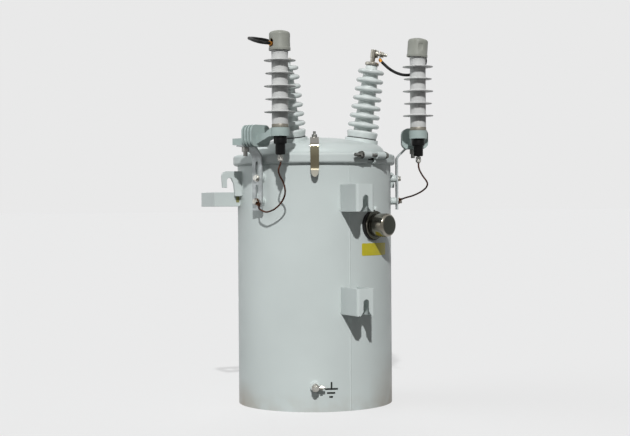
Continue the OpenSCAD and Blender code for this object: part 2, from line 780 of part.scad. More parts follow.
// Porcelain bushing: a base flange and sheds that narrow towards the top
module hv_bushing() color(porcelain) on_bushing() {
    rim = bushing_shed_t / 2;
    outline = concat([[0, bushing_gasket_t], [bushing_base_d / 2 - rim / 2, bushing_gasket_t]],
        arc([bushing_base_d / 2 - bushing_edge_r, bushing_base_h - bushing_edge_r], bushing_edge_r, 0, 90),
        [[bushing_core_d / 2, bushing_base_h]],
        [for (i = [0 : bushing_sheds - 1])
            let (share = i / (bushing_sheds - 1), z = shed_first + i * bushing_pitch,
                core = blend(bushing_core_d, bushing_top_core_d, share) / 2,
                edge = blend(bushing_shed_d, bushing_top_shed_d, share) / 2)
            each concat([[core, z - bushing_shed_t * shed_under_share]],
                arc([edge - rim, z], rim, -80, 80),
                [[core, z + bushing_shed_t * shed_root_share]])],
        [[bushing_neck_d / 2, bushing_top - bushing_neck + bushing_shed_t * shed_root_share],
        [bushing_neck_d / 2, bushing_top], [0, bushing_top]]);
    rotate_extrude($fn = 96) polygon(outline);
}
module hv_bushing_right() hv_bushing();
module hv_bushing_left() mirror([1, 0, 0]) hv_bushing();

// Flat gasket under each bushing
module hv_bushing_gaskets() color(black) for (side = [0, 1]) mirror([side, 0, 0]) on_bushing()
    cylinder(d = bushing_base_d - 2 * bushing_gasket_t, h = bushing_gasket_t);

// Metal cap, stud and socket on top of a bushing, with the socket's clamping bolt
module hv_terminal() color(steel) on_bushing() {
    translate([0, 0, bushing_top]) {
        cylinder(d = bushing_cap_d, h = bushing_cap_h - bushing_cap_bevel);
        cylinder(d = bushing_stud_d, h = bushing_cap_h + bushing_stud_h + over);
        translate([0, 0, bushing_cap_h - bushing_cap_bevel]) cylinder(d1 = bushing_cap_d,
            d2 = bushing_cap_d - 2 * bushing_cap_bevel, h = bushing_cap_bevel);
    }
    translate([0, 0, socket_at]) difference() {
        union() {
            cylinder(d = socket_d, h = socket_h, center = true);
            outward() {
                cylinder(d = socket_bolt_d, h = saddle_face + socket_bolt_len);
                translate([0, 0, saddle_face - saddle_t]) cylinder(d = saddle_d, h = saddle_t);
                translate([0, 0, socket_nut_from]) hexagon(socket_nut_d, socket_nut_h);
            }
        }
        translate([0, 0, socket_h / 2 - socket_hole_len])
            cylinder(d = socket_hole_d, h = socket_hole_len + over);
    }
}
module hv_terminal_right() hv_terminal();
module hv_terminal_left() mirror([1, 0, 0]) hv_terminal();

// Crimped lug on a bolt that points outward, turned about the bolt
module crimp_lug(turn, hole, barrel) rotate([0, -turn, 0]) difference() {
    union() {
        outward() linear_extrude(lug_plate_t) {
            circle(d = lug_plate_d);
            translate([-lug_plate_w / 2, -lug_plate_len]) square([lug_plate_w, lug_plate_len]);
        }
        translate([0, -lug_plate_t / 2, -lug_barrel_from]) rotate([180 - lug_barrel_tilt, 0, 0])
            cylinder(d = barrel, h = lug_barrel_len);
    }
    translate([0, over, 0]) outward() cylinder(d = hole + 2 * fit, h = lug_plate_t + 2 * over);
}

// Lugs of the jumpers on the bushing terminals
module jumper_lug(turn) on_bushing() translate([0, -saddle_face - lug_gap, socket_at])
    crimp_lug(turn, socket_bolt_d, lug_barrel_d);

// Sleeve of a jumper through the slot of an arrester's cap
module jumper_sleeve(turn) on_arrester() rotate([0, 0, -turn]) translate([0, 0, cap_z + ferrule_up])
    outward() translate([0, 0, terminal_d / 2 + fit]) cylinder(d = ferrule_d, h = ferrule_len);
module jumper_lugs() color(copper) {
    jumper_lug(lug_turn_right);
    jumper_sleeve(cap_turn_right);
    mirror([1, 0, 0]) {
        jumper_lug(lug_turn_left);
        jumper_sleeve(cap_turn_left);
    }
}

// Places a piece on the right arrester bracket: X runs along the arm, -Y is outward
module on_set() rotate([0, 0, set_az]) mirror([1, 0, 0]) children();

// Places a piece on the axis of the right arrester
module on_arrester() on_set() translate([arrester_along, -arm_r, 0]) children();

// Polymer housing with thin sheds, wide and narrow in turn
module arrester_housing() color(polymer) on_arrester() translate([0, 0, housing_z]) {
    rim = arrester_shed_t / 2;
    core = arrester_d / 2;
    outline = concat([[0, 0], [core, 0]],
        [for (i = [0 : arrester_sheds - 1])
            let (z = arrester_first + i * arrester_pitch,
                edge = (i % 2 == 0 ? arrester_shed_d : arrester_small_shed_d) / 2)
            each concat([[core, z - rim]], arc([edge - rim, z], rim, -90, 90),
                [[core + arrester_shed_t * arrester_root_share, z + rim * arrester_root_share],
                [core, z + arrester_shed_t * arrester_root_share]])],
        [[core, housing_len], [0, housing_len]]);
    rotate_extrude($fn = 96) polygon(outline);
}
module arrester_housing_right() arrester_housing();
module arrester_housing_left() mirror([1, 0, 0]) arrester_housing();

// Metal collar between each arrester and its arm
module arrester_collars() color(steel) for (side = [0, 1]) mirror([side, 0, 0]) on_arrester()
    translate([0, 0, arrester_seat_z]) {
        cylinder(d = neck_d, h = collar_h);
        cylinder(d = pad_d - collar_h / 2, h = collar_h / 2);
    }

// Metal neck, stud and nut on top of each arrester
module arrester_terminals() color(steel) for (side = [0, 1]) mirror([side, 0, 0]) on_arrester()
    translate([0, 0, neck_z]) {
        cylinder(d = neck_d, h = neck_h + neck_in_cap);
        cylinder(d = terminal_d, h = neck_h + cap_room_h - cap_play);
        translate([0, 0, neck_h + neck_in_cap]) hexagon(terminal_nut_d, terminal_nut_h / 2);
    }

// Moulded cap over an arrester's terminal, with a slot for the lead and a blank slot
module arrester_cap(turn, lean) color(olive) on_arrester() translate([0, 0, cap_z + cap_h / 2])
    rotate([lean, 0, 0]) translate([0, 0, -cap_h / 2]) difference() {
        wide = cap_d / 2;
        hub = [wide - cap_top_r, cap_hub_z];
        room = wide - cap_wall;
        rotate_extrude() polygon(concat([[0, 0], [wide + cap_skirt, 0], [wide + cap_skirt, cap_skirt_h],
            [wide, cap_skirt_h + cap_skirt]], arc(hub, cap_top_r, 0, 90 - cap_slope),
            arc([0, cap_h - cap_big_r], cap_big_r, 90 - cap_slope, 90)));
        rotate_extrude() polygon(concat([[0, -over], [room, -over]],
            arc(hub, cap_top_r - cap_wall, 0, 90), [[0, cap_room_h]]));
        rotate([0, 0, -turn]) translate([0, 0, cap_slot_up]) outward() linear_extrude(cap_d)
            rounded(cap_slot_w, cap_slot_h, cap_slot_w / 2 - fit);
        rotate([0, 0, cap_panel_turn - turn]) translate([0, 0, cap_panel_up]) outward()
            translate([0, 0, wide - cap_panel_in]) linear_extrude(cap_d)
                rounded(cap_slot_w, cap_slot_h, cap_slot_w / 2 - fit);
    }
module arrester_cap_right() arrester_cap(cap_turn_right, cap_lean_right);
module arrester_cap_left() mirror([1, 0, 0]) arrester_cap(cap_turn_left, cap_lean_left);

// Insulating arm: an end block, fins, a rising beam and the arrester's pad
module arrester_arm() color(sage) on_set() translate([0, -arm_r, 0]) difference() {
    union() {
        translate([-block_back, -block_w / 2, block_z]) cube([block_back + fin_end, block_w, block_h]);
        for (i = [0 : fins - 1])
            translate([fin_from + i * fin_pitch, 0, block_z - fin_drop + fin_h / 2]) rotate([90, 0, 90])
                linear_extrude(fin_t) rounded(fin_w, fin_h, fin_r);
        translate([0, beam_w / 2, 0]) outward() linear_extrude(beam_w) polygon([[fin_from, block_z],
            [fin_end, block_z], [arrester_along - pad_d / 2, pad_z], [arrester_along, pad_z],
            [arrester_along, arrester_seat_z], [arrester_along - shoulder_in, arrester_seat_z],
            [arrester_along - ramp_in, block_z + beam_h], [fin_from, block_z + beam_h]]);
        translate([arrester_along, 0, pad_z]) cylinder(d = pad_d, h = pad_h);
    }
    translate([0, 0, block_z - over]) cylinder(d = arm_bolt_d + 2 * fit, h = block_h + 2 * over);
}
module arrester_arm_right() arrester_arm();
module arrester_arm_left() mirror([1, 0, 0]) arrester_arm();

// Bolt that holds each arm to its bracket strip
module arrester_arm_bolts() color(steel) for (side = [0, 1]) mirror([side, 0, 0]) on_set()
    translate([0, -arm_r, 0]) {
        under = strip_tab_z - strip_t / 2 - fit;
        translate([0, 0, under - arm_nut_h - arm_bolt_tail])
            cylinder(d = arm_bolt_d, h = block_z + block_h - under + arm_nut_h + arm_bolt_tail + fit);
        translate([0, 0, under - arm_nut_h]) hexagon(arm_nut_d, arm_nut_h);
        translate([0, 0, block_z + block_h + fit]) hexagon(arm_nut_d, arm_head_h);
    }

// Bracket strip: slotted leg on the tank, a lean outward and a tab under the arm
module arrester_strip() color(steel) on_set() difference() {
    upright(strip_w) polygon(strip_outline([[strip_r, strip_low_z - strip_foot],
        [strip_r, strip_tab_z - strip_lean], [strip_r + strip_lean, strip_tab_z],
        [arm_r + strip_tab_over, strip_tab_z]], strip_t));
    for (i = [0, 1])
        translate([0, -strip_face_r + over, strip_low_z + i * strip_bolt_pitch]) outward()
            linear_extrude(strip_t + 2 * over) {
                circle(d = strip_slot_w);
                translate([-strip_slot_w / 2, 0]) square([strip_slot_w, strip_slot_len - strip_slot_w]);
                translate([0, strip_slot_len - strip_slot_w]) circle(d = strip_slot_w);
            }
    translate([0, -arm_r, strip_tab_z - strip_t]) cylinder(d = arm_bolt_d + 2 * fit, h = 2 * strip_t);
}
module arrester_strip_right() arrester_strip();
module arrester_strip_left() mirror([1, 0, 0]) arrester_strip();

// Places a piece at the strip bolts of the given rows, outward along the radius
module at_strip_bolts(rows) for (side = [0, 1], i = rows) mirror([side, 0, 0]) on_set()
    translate([0, 0, strip_low_z + i * strip_bolt_pitch]) outward() children();

// Round bosses on the tank wall behind the strips
module arrester_bosses() color(paint) difference() {
    at_strip_bolts([0, 1]) translate([0, 0, tank_r - boss_d / 4])
        cylinder(d = boss_d, h = strip_off + boss_d / 4);
    tank_space();
}

// Hexagon bolts through the strips into the bosses, with room for a lug under each lower head
module strip_bolt(grip) translate([0, 0, strip_face_r]) {
    cylinder(d = strip_bolt_d, h = strip_t + strip_washer_h + grip);
    translate([0, 0, strip_t]) cylinder(d = strip_washer_d, h = strip_washer_h);
    translate([0, 0, strip_t + strip_washer_h + grip]) hexagon(strip_head_d, strip_head_h);
}
module arrester_strip_bolts() color(steel) {
    at_strip_bolts([1]) strip_bolt(0);
    at_strip_bolts([0]) strip_bolt(lug_plate_t + 2 * fit);
}

// Lugs of the earth leads on the lower strip bolts
module earth_lug(turn) on_set() translate([0, -strip_face_r - strip_t - strip_washer_h - fit, strip_low_z])
    crimp_lug(turn, strip_bolt_d, earth_barrel_d);
module earth_lugs() color(copper) {
    earth_lug(earth_turn_right);
    mirror([1, 0, 0]) earth_lug(earth_turn_left);
}

// Moulded disconnector under an arrester's pad
module disconnector() color(black) on_arrester() rotate_extrude() polygon([[0, disc_stud_z],
    [disc_body_d / 2 - disc_bevel, disc_stud_z], [disc_body_d / 2, disc_stud_z + disc_bevel],
    [disc_body_d / 2, pad_z - disc_head_h], [disc_d / 2 - disc_bevel, pad_z - disc_head_h],
    [disc_d / 2, pad_z - disc_head_h + disc_bevel], [disc_d / 2, pad_z], [0, pad_z]]);
module disconnector_right() disconnector();
module disconnector_left() mirror([1, 0, 0]) disconnector();

// Earth stud and nut under each disconnector
module disconnector_studs() color(steel) for (side = [0, 1]) mirror([side, 0, 0]) on_arrester()
    translate([0, 0, disc_stud_z]) mirror([0, 0, 1]) {
        cylinder(d = disc_stud_d, h = disc_stud_len);
        translate([0, 0, disc_bevel]) hexagon(disc_nut_d, disc_nut_h);
    }

// Leads between the bushings, the arresters and their brackets
module hv_jumper_right() color(black) lead(right_jumper_route, jumper_d, 10);
module hv_jumper_left() color(black) lead(left_jumper_route, jumper_d, 10);
module earth_lead_right() color(brown) lead(right_earth_route, earth_lead_d, 8);
module earth_lead_left() color(brown) lead(left_earth_route, earth_lead_d, 8);

// Sealed flange of the tap changer on the tank wall
module tap_changer_flange() color(black) difference() {
    rotate([0, 0, tap_az]) translate([0, 0, tap_z]) outward() translate([0, 0, tank_r - tap_flange_d / 4])
        cylinder(d = tap_flange_d, h = tap_flange_t + tap_flange_d / 4);
    tank_space();
}

// Screwed metal cap over the tap changer
module tap_changer_cap() color(steel) rotate([0, 0, tap_az])
    translate([0, -tank_r - tap_flange_t, tap_z]) outward() {
        wide = tap_cap_d / 2;
        rotate_extrude() polygon(concat([[0, 0], [tap_ring_d / 2, 0], [tap_ring_d / 2, tap_ring_t],
            [wide - tap_groove, tap_ring_t], [wide - tap_groove, tap_groove_at], [wide, tap_groove_at]],
            arc([wide - tap_cap_r, tap_cap_len - tap_cap_r], tap_cap_r, 0, 90), [[0, tap_cap_len]]));
    }

// Earth boss on the tank wall near the floor
module earth_boss() color(paint) difference() {
    on_earth() translate([0, 0, -earth_boss_d / 4])
        cylinder(d = earth_boss_d, h = earth_boss_t + earth_boss_d / 4);
    tank_space();
}

// Places a piece on the tank wall at the earth terminal, outward along the radius
module on_earth() rotate([0, 0, earth_az]) translate([0, -tank_r, earth_z]) outward() children();

// Earth clamp with a cross hole and a clamping screw
module earth_clamp() color(steel) on_earth() translate([0, 0, earth_boss_t]) difference() {
    union() {
        cylinder(d = earth_clamp_d, h = earth_clamp_len);
        translate([0, 0, earth_clamp_len]) hexagon(earth_head_d, earth_head_len);
        translate([0, 0, earth_clamp_len / 2]) rotate([0, 90, 0]) {
            cylinder(d = earth_screw_d, h = earth_screw_len);
            translate([0, 0, earth_nut_from]) hexagon(earth_nut_d, earth_nut_h);
        }
    }
    translate([0, 0, earth_clamp_len / 2]) rotate([90, 0, 0])
        cylinder(d = earth_hole_d, h = earth_clamp_d + 2 * over, center = true);
}

// Places a piece at each low-voltage bushing on the back of the tank, outward along the radius
module at_lv() for (i = [0 : lv_count - 1])
    rotate([0, 0, 180 + (i - (lv_count - 1) / 2) * lv_step])
        translate([0, -tank_r, lv_z]) outward() children();

// Moulded low-voltage bushings, each a flange and a ribbed body
module lv_bushings() color(polymer) difference() {
    at_lv() {
        translate([0, 0, -lv_flange_d / 4]) cylinder(d = lv_flange_d, h = lv_flange_t + lv_flange_d / 4);
        cylinder(d = lv_body_d, h = lv_flange_t + lv_body_len);
        translate([0, 0, lv_flange_t + lv_body_len / 2])
            cylinder(d = lv_body_d + 2 * lv_ring, h = lv_ring, center = true);
    }
    tank_space();
}

// Stud and wire eye on each low-voltage bushing
module lv_terminals() color(steel) at_lv() translate([0, 0, lv_flange_t + lv_body_len]) difference() {
    union() {
        cylinder(d = lv_stud_d, h = lv_stud_len + lv_eye_d / 4);
        translate([0, 0, lv_stud_len + lv_eye_d / 2]) rotate([90, 0, 0])
            cylinder(d = lv_eye_d, h = lv_eye_w, center = true);
    }
    translate([0, 0, lv_stud_len + lv_eye_d / 2]) rotate([90, 0, 0])
        cylinder(d = lv_hole_d, h = lv_eye_w + 2 * over, center = true);
}

tank_shell();
tank_bottom();
lid();
lid_gasket();
clamp_band();
clamp_bolt();
hanger_upper();
hanger_lower();
lifting_lug_left();
lifting_lug_right();
side_bracket();
lid_strap();
lid_strap_bolt();
hv_bushing_left();
hv_bushing_right();
hv_bushing_gaskets();
hv_terminal_left();
hv_terminal_right();
jumper_lugs();
arrester_housing_left();
arrester_housing_right();
arrester_collars();
arrester_terminals();
arrester_cap_left();
arrester_cap_right();
arrester_arm_left();
arrester_arm_right();
arrester_arm_bolts();
arrester_strip_left();
arrester_strip_right();
arrester_bosses();
arrester_strip_bolts();
earth_lugs();
disconnector_left();
disconnector_right();
disconnector_studs();
hv_jumper_left();
hv_jumper_right();
earth_lead_left();
earth_lead_right();
tap_changer_flange();
tap_changer_cap();
earth_boss();
earth_clamp();
lv_bushings();
lv_terminals();
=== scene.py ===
import json
import math

import bpy
from mathutils import Matrix, Vector


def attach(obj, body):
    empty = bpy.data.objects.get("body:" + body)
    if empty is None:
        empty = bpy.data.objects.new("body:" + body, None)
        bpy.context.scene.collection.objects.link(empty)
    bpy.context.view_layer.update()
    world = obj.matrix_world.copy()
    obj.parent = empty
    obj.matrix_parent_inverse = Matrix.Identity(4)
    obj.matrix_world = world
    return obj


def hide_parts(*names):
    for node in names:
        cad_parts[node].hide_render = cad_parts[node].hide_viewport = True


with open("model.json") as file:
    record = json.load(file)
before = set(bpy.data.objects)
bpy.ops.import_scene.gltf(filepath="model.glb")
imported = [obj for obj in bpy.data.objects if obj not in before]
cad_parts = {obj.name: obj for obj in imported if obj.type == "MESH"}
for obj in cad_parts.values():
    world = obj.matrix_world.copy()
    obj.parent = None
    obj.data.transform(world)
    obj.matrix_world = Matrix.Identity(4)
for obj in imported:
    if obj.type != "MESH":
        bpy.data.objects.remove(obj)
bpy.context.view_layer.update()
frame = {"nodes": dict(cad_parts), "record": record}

scene = bpy.context.scene
nodes = frame["nodes"]
slotOf = {part["node"]: part["material_slot"] for part in frame["record"]["subparts"]}
mm = 0.001


def say(stage):
    print("transformer:", stage)


def outAt(azimuth, reach, height):
    # a point so far from the tank's axis, its azimuth in degrees round from the pole side
    turn = math.radians(azimuth)
    return Vector((math.sin(turn) * reach, -math.cos(turn) * reach, height))


def alongAt(azimuth):
    # level and square to that azimuth, to the right as seen from outside
    turn = math.radians(azimuth)
    return Vector((math.cos(turn), math.sin(turn), 0.0))


# Camera at the photograph's angle, level with the upper half of the tank
cameraPlan = {
    "azimuth": -26.0,
    "distance": 3.937,    # from the tank's axis
    "height": 0.568,
    "lens": 76.3,
    "sensor": 36.0,
    "clip": (0.1, 500.0),
    "imageWide": 630,
    "axisPixelX": 314.3,  # the tank's axis and the eye level in the 630 x 436 frame
    "eyePixelY": 208.0,
    "middlePixel": (315.0, 218.0),
    "roll": -0.4,
}


def placeCamera(plan):
    view = bpy.data.cameras.new("photo_camera")
    view.sensor_width = plan["sensor"]
    view.lens = plan["lens"]
    view.shift_x = (plan["middlePixel"][0] - plan["axisPixelX"]) / plan["imageWide"]
    view.shift_y = (plan["eyePixelY"] - plan["middlePixel"][1]) / plan["imageWide"]
    view.clip_start, view.clip_end = plan["clip"]
    holder = bpy.data.objects.new("photo_camera", view)
    scene.collection.objects.link(holder)
    holder.location = outAt(plan["azimuth"], plan["distance"], plan["height"])
    level = Matrix.Rotation(math.radians(plan["azimuth"]), 4, "Z") @ Matrix.Rotation(math.pi / 2, 4, "X")
    rolled = level @ Matrix.Rotation(math.radians(plan["roll"]), 4, "Z")
    holder.rotation_euler = rolled.to_euler()
    scene.camera = holder


placeCamera(cameraPlan)
say("camera placed")


def tint(red, green, blue):
    # a colour as read off a screen, 0 to 255, as the shader wants it
    def linear(step):
        share = step / 255
        return share / 12.92 if share <= 0.04045 else ((share + 0.055) / 1.055) ** 2.4
    return (linear(red), linear(green), linear(blue), 1.0)


def startFinish(name, colour, roughness, metallic=0.0):
    finish = bpy.data.materials.new(name)
    finish.use_nodes = True
    shader = finish.node_tree.nodes["Principled BSDF"]
    shader.inputs["Base Color"].default_value = colour
    shader.inputs["Roughness"].default_value = roughness
    shader.inputs["Metallic"].default_value = metallic
    finish.diffuse_color = colour
    return finish, finish.node_tree, shader


def grain(tree, scale, detail=3.0, stretch=(1.0, 1.0, 1.0)):
    # noise fixed to the piece, its scale per metre
    place = tree.nodes.new("ShaderNodeTexCoord")
    turn = tree.nodes.new("ShaderNodeMapping")
    turn.inputs["Scale"].default_value = stretch
    noise = tree.nodes.new("ShaderNodeTexNoise")
    noise.inputs["Scale"].default_value = scale
    noise.inputs["Detail"].default_value = detail
    tree.links.new(place.outputs["Object"], turn.inputs["Vector"])
    tree.links.new(turn.outputs["Vector"], noise.inputs["Vector"])
    return noise.outputs["Fac"]


def reachAlong(tree, direction, coordinate="Object"):
    # how far the surface lies along a direction, or with "Normal" how squarely it faces that way
    place = tree.nodes.new("ShaderNodeTexCoord")
    along = tree.nodes.new("ShaderNodeVectorMath")
    along.operation = "DOT_PRODUCT"
    along.inputs[1].default_value = direction
    tree.links.new(place.outputs[coordinate], along.inputs[0])
    return along.outputs["Value"]


def heightAbove(tree):
    return reachAlong(tree, (0.0, 0.0, 1.0))


def facingUp(tree):
    return reachAlong(tree, (0.0, 0.0, 1.0), "Normal")


def ramp(tree, factor, low, high, start=0.35, end=0.65):
    # colours from low to high as the factor goes from start to end
    band = tree.nodes.new("ShaderNodeValToRGB")
    band.color_ramp.elements[0].position = start
    band.color_ramp.elements[0].color = low
    band.color_ramp.elements[1].position = end
    band.color_ramp.elements[1].color = high
    tree.links.new(factor, band.inputs["Fac"])
    return band.outputs["Color"]


def spread(tree, factor, low, high, start=0.3, end=0.7):
    # numbers from low to high as the factor goes from start to end
    step = tree.nodes.new("ShaderNodeMapRange")
    step.inputs["From Min"].default_value = start
    step.inputs["From Max"].default_value = end
    step.inputs["To Min"].default_value = low
    step.inputs["To Max"].default_value = high
    tree.links.new(factor, step.inputs["Value"])
    return step.outputs["Result"]


def times(tree, first, second):
    product = tree.nodes.new("ShaderNodeMath")
    product.operation = "MULTIPLY"
    tree.links.new(first, product.inputs[0])
    tree.links.new(second, product.inputs[1])
    return product.outputs["Value"]


def over(tree, factor, under, top):
    # the colour top laid over the colour socket under
    layer = tree.nodes.new("ShaderNodeMix")
    layer.data_type = "RGBA"
    tree.links.new(factor, layer.inputs[0])
    tree.links.new(under, layer.inputs[6])
    layer.inputs[7].default_value = top
    return layer.outputs[2]


def layOn(tree, shader, colour, roughness):
    tree.links.new(colour, shader.inputs["Base Color"])
    tree.links.new(roughness, shader.inputs["Roughness"])


def relief(tree, shader, height, depth, strength):
    bump = tree.nodes.new("ShaderNodeBump")
    bump.inputs["Distance"].default_value = depth
    bump.inputs["Strength"].default_value = strength
    tree.links.new(height, bump.inputs["Height"])
    tree.links.new(bump.outputs["Normal"], shader.inputs["Normal"])


def tankPaint():
    # orange peel all over, thin dust round the foot, and a mottled painted reflection of a brown ground low
    # on both sides
    look = {
        "pale": tint(199, 207, 205), "deep": tint(193, 201, 199), "mottle": 4.0,    # grain, per metre
        "roughness": 0.40, "worn": (0.36, 0.48), "wear": 18.0, "shine": 0.24,
        "peel": 420.0, "peelDepth": 0.00012, "peelStrength": 0.5,
        "dust": tint(172, 168, 158), "dustShare": 0.55, "dustTop": 0.05,
        "dustGrain": 22.0, "dustPatches": (0.36, 0.72),
        # painted reflection of a brown ground, mottled, low on the far sides
        "groundReflection": tint(146, 122, 94), "groundReflectionShare": 0.75, "groundReflectionGrain": 12.0, "groundReflectionLeast": 0.35,
        "groundReflectionAzimuth": -26.0,                    # the sides square to this get the painted ground reflection
        "groundReflectionSides": ((1, 0.16), (-1, 0.08)),    # right and left, and how high
        "groundReflectionOut": (0.150, 0.224),               # where it begins and is full, out from the axis
        "fine": 5.0,                            # detail of the grain in the dust and in the painted ground reflection
    }
    finish, tree, shader = startFinish("tank_paint", look["pale"], look["roughness"])
    shader.inputs["Specular IOR Level"].default_value = look["shine"]
    colour = ramp(tree, grain(tree, look["mottle"]), look["deep"], look["pale"])
    foot = spread(tree, heightAbove(tree), look["dustShare"], 0.0, 0.0, look["dustTop"])
    patches = spread(tree, grain(tree, look["dustGrain"], look["fine"]), 0.0, 1.0, *look["dustPatches"])
    colour = over(tree, times(tree, foot, patches), colour, look["dust"])
    # painted reflection of a brown ground, mottled, low on both sides
    for side, top in look["groundReflectionSides"]:
        out = reachAlong(tree, side * alongAt(look["groundReflectionAzimuth"]))
        low = times(tree, spread(tree, heightAbove(tree), look["groundReflectionShare"], 0.0, 0.0, top),
                    spread(tree, out, 0.0, 1.0, *look["groundReflectionOut"]))
        blotch = spread(tree, grain(tree, look["groundReflectionGrain"], look["fine"]), look["groundReflectionLeast"], 1.0)
        colour = over(tree, times(tree, low, blotch), colour, look["groundReflection"])
    layOn(tree, shader, colour, spread(tree, grain(tree, look["wear"]), *look["worn"]))
    relief(tree, shader, grain(tree, look["peel"], 1.0), look["peelDepth"], look["peelStrength"])
    return finish


def porcelainGlaze():
    look = {
        "pale": tint(208, 214, 212), "deep": tint(199, 206, 204), "mottle": 60.0,
        "roughness": 0.14, "worn": (0.10, 0.20), "wear": 140.0,
        "shine": 0.2, "coat": 0.2, "coatRoughness": 0.05,
        "runs": 90.0, "runDepth": 0.0003, "runStrength": 0.35,    # the glaze runs a little uneven
    }
    finish, tree, shader = startFinish("porcelain", look["pale"], look["roughness"])
    shader.inputs["Specular IOR Level"].default_value = look["shine"]
    shader.inputs["Coat Weight"].default_value = look["coat"]
    shader.inputs["Coat Roughness"].default_value = look["coatRoughness"]
    layOn(tree, shader, ramp(tree, grain(tree, look["mottle"]), look["deep"], look["pale"]),
          spread(tree, grain(tree, look["wear"]), *look["worn"]))
    relief(tree, shader, grain(tree, look["runs"], 1.0), look["runDepth"], look["runStrength"])
    return finish


def moulding(name, pale, deep, roughness, shine=0.3):
    # a moulded plastic or rubber: fine grain, faint mottling
    look = {"mottle": 35.0, "wear": 120.0, "wearSpan": 0.06, "skin": 600.0, "skinDepth": 0.0001,
            "skinStrength": 0.5}
    finish, tree, shader = startFinish(name, pale, roughness)
    shader.inputs["Specular IOR Level"].default_value = shine
    layOn(tree, shader, ramp(tree, grain(tree, look["mottle"], 4.0), deep, pale),
          spread(tree, grain(tree, look["wear"]), roughness - look["wearSpan"], roughness + look["wearSpan"]))
    relief(tree, shader, grain(tree, look["skin"], 2.0), look["skinDepth"], look["skinStrength"])
    return finish


def metal(name, pale, deep, roughness, grainScale, bare=1.0, downShade=None, downShadeTop=0.55):
    # bare or plated metal: mottled colour, roughness that follows the grain, and painted shade on what faces
    # down, a painted reflection of a dark ground
    look = {"mottle": 50.0, "smoothest": 0.7, "roughest": 1.4, "downShadeShare": 0.9, "grainDepth": 0.00006,
            "grainStrength": 0.4}
    finish, tree, shader = startFinish(name, pale, roughness, bare)
    streak = grain(tree, grainScale, 4.0)
    colour = ramp(tree, grain(tree, look["mottle"], 4.0), deep, pale)
    # painted shade: the colour darkens on faces turned down
    if downShade:
        below = spread(tree, facingUp(tree), look["downShadeShare"], 0.0, downShadeTop - 1.0, downShadeTop)
        colour = over(tree, below, colour, downShade)
    layOn(tree, shader, colour,
          spread(tree, streak, roughness * look["smoothest"], roughness * look["roughest"]))
    relief(tree, shader, streak, look["grainDepth"], look["grainStrength"])
    return finish


def polishedStrap():
    # painted reflections: dull brown between its bends, paler towards the upper one, bright on the tongue and
    # the land
    look = {
        # middle and worn are both the painted brown reflection, mottled
        "middle": tint(110, 104, 85), "worn": tint(103, 96, 78), "roughness": 0.18,
        "mottle": 45.0, "mottleStretch": (1, 1, 0.4),
        "upper": tint(136, 130, 109), "upperFrom": (0.710, 0.742),   # heights, where each begins and is full
        "land": tint(150, 147, 141), "landFrom": (0.742, 0.750),
        "tongue": tint(118, 116, 108), "tongueTo": (0.670, 0.678),
        "tongueRoughness": 0.62, "roughTo": (0.672, 0.678),
        "brush": 300.0, "brushStretch": (1, 1, 0.08), "brushDepth": 0.00004, "brushStrength": 0.3,
    }
    finish, tree, shader = startFinish("polished_strap", look["middle"], look["roughness"], 1.0)
    colour = ramp(tree, grain(tree, look["mottle"], 2.0, look["mottleStretch"]), look["worn"], look["middle"])
    # painted reflections by height: paler towards the upper bend, bright on the land and on the tongue
    colour = over(tree, spread(tree, heightAbove(tree), 0.0, 1.0, *look["upperFrom"]), colour, look["upper"])
    colour = over(tree, spread(tree, heightAbove(tree), 0.0, 1.0, *look["landFrom"]), colour, look["land"])
    colour = over(tree, spread(tree, heightAbove(tree), 1.0, 0.0, *look["tongueTo"]), colour, look["tongue"])
    layOn(tree, shader, colour, spread(tree, heightAbove(tree), look["tongueRoughness"], look["roughness"],
                                       *look["roughTo"]))
    brushed = grain(tree, look["brush"], 3.0, look["brushStretch"])
    relief(tree, shader, brushed, look["brushDepth"], look["brushStrength"])
    return finish


def polishedCap():
    # turned steel with painted reflections, a darker stripe along its sides at mid height and a dark end
    # face, and a darker foot ring
    look = {
        "azimuth": 21.5,
        "side": tint(152, 149, 140), "deep": tint(138, 134, 124), "mottle": 60.0,
        "roughness": 0.2, "worn": (0.16, 0.26), "wear": 260.0,
        "reflectionStripe": tint(112, 108, 98), "reflectionStripeLow": (0.500, 0.512), "reflectionStripeHigh": (0.528, 0.534),
        "ring": tint(104, 100, 92), "ringOut": (0.2375, 0.2385),     # out from the tank's axis
        "end": tint(62, 64, 58), "endFacing": (0.88, 0.985),
    }
    finish, tree, shader = startFinish("polished_cap", look["side"], look["roughness"], 1.0)
    outward = outAt(look["azimuth"], 1.0, 0.0)
    colour = ramp(tree, grain(tree, look["mottle"], 2.0), look["deep"], look["side"])
    # painted reflection: a darker stripe at mid height
    reflectionStripe = times(tree, spread(tree, heightAbove(tree), 0.0, 1.0, *look["reflectionStripeLow"]),
                   spread(tree, heightAbove(tree), 1.0, 0.0, *look["reflectionStripeHigh"]))
    colour = over(tree, reflectionStripe, colour, look["reflectionStripe"])
    ring = spread(tree, reachAlong(tree, outward), 1.0, 0.0, *look["ringOut"])
    colour = over(tree, ring, colour, look["ring"])
    # painted reflection: the end face is dark
    face = spread(tree, reachAlong(tree, outward, "Normal"), 0.0, 1.0, *look["endFacing"])
    colour = over(tree, face, colour, look["end"])
    layOn(tree, shader, colour, spread(tree, grain(tree, look["wear"]), *look["worn"]))
    return finish


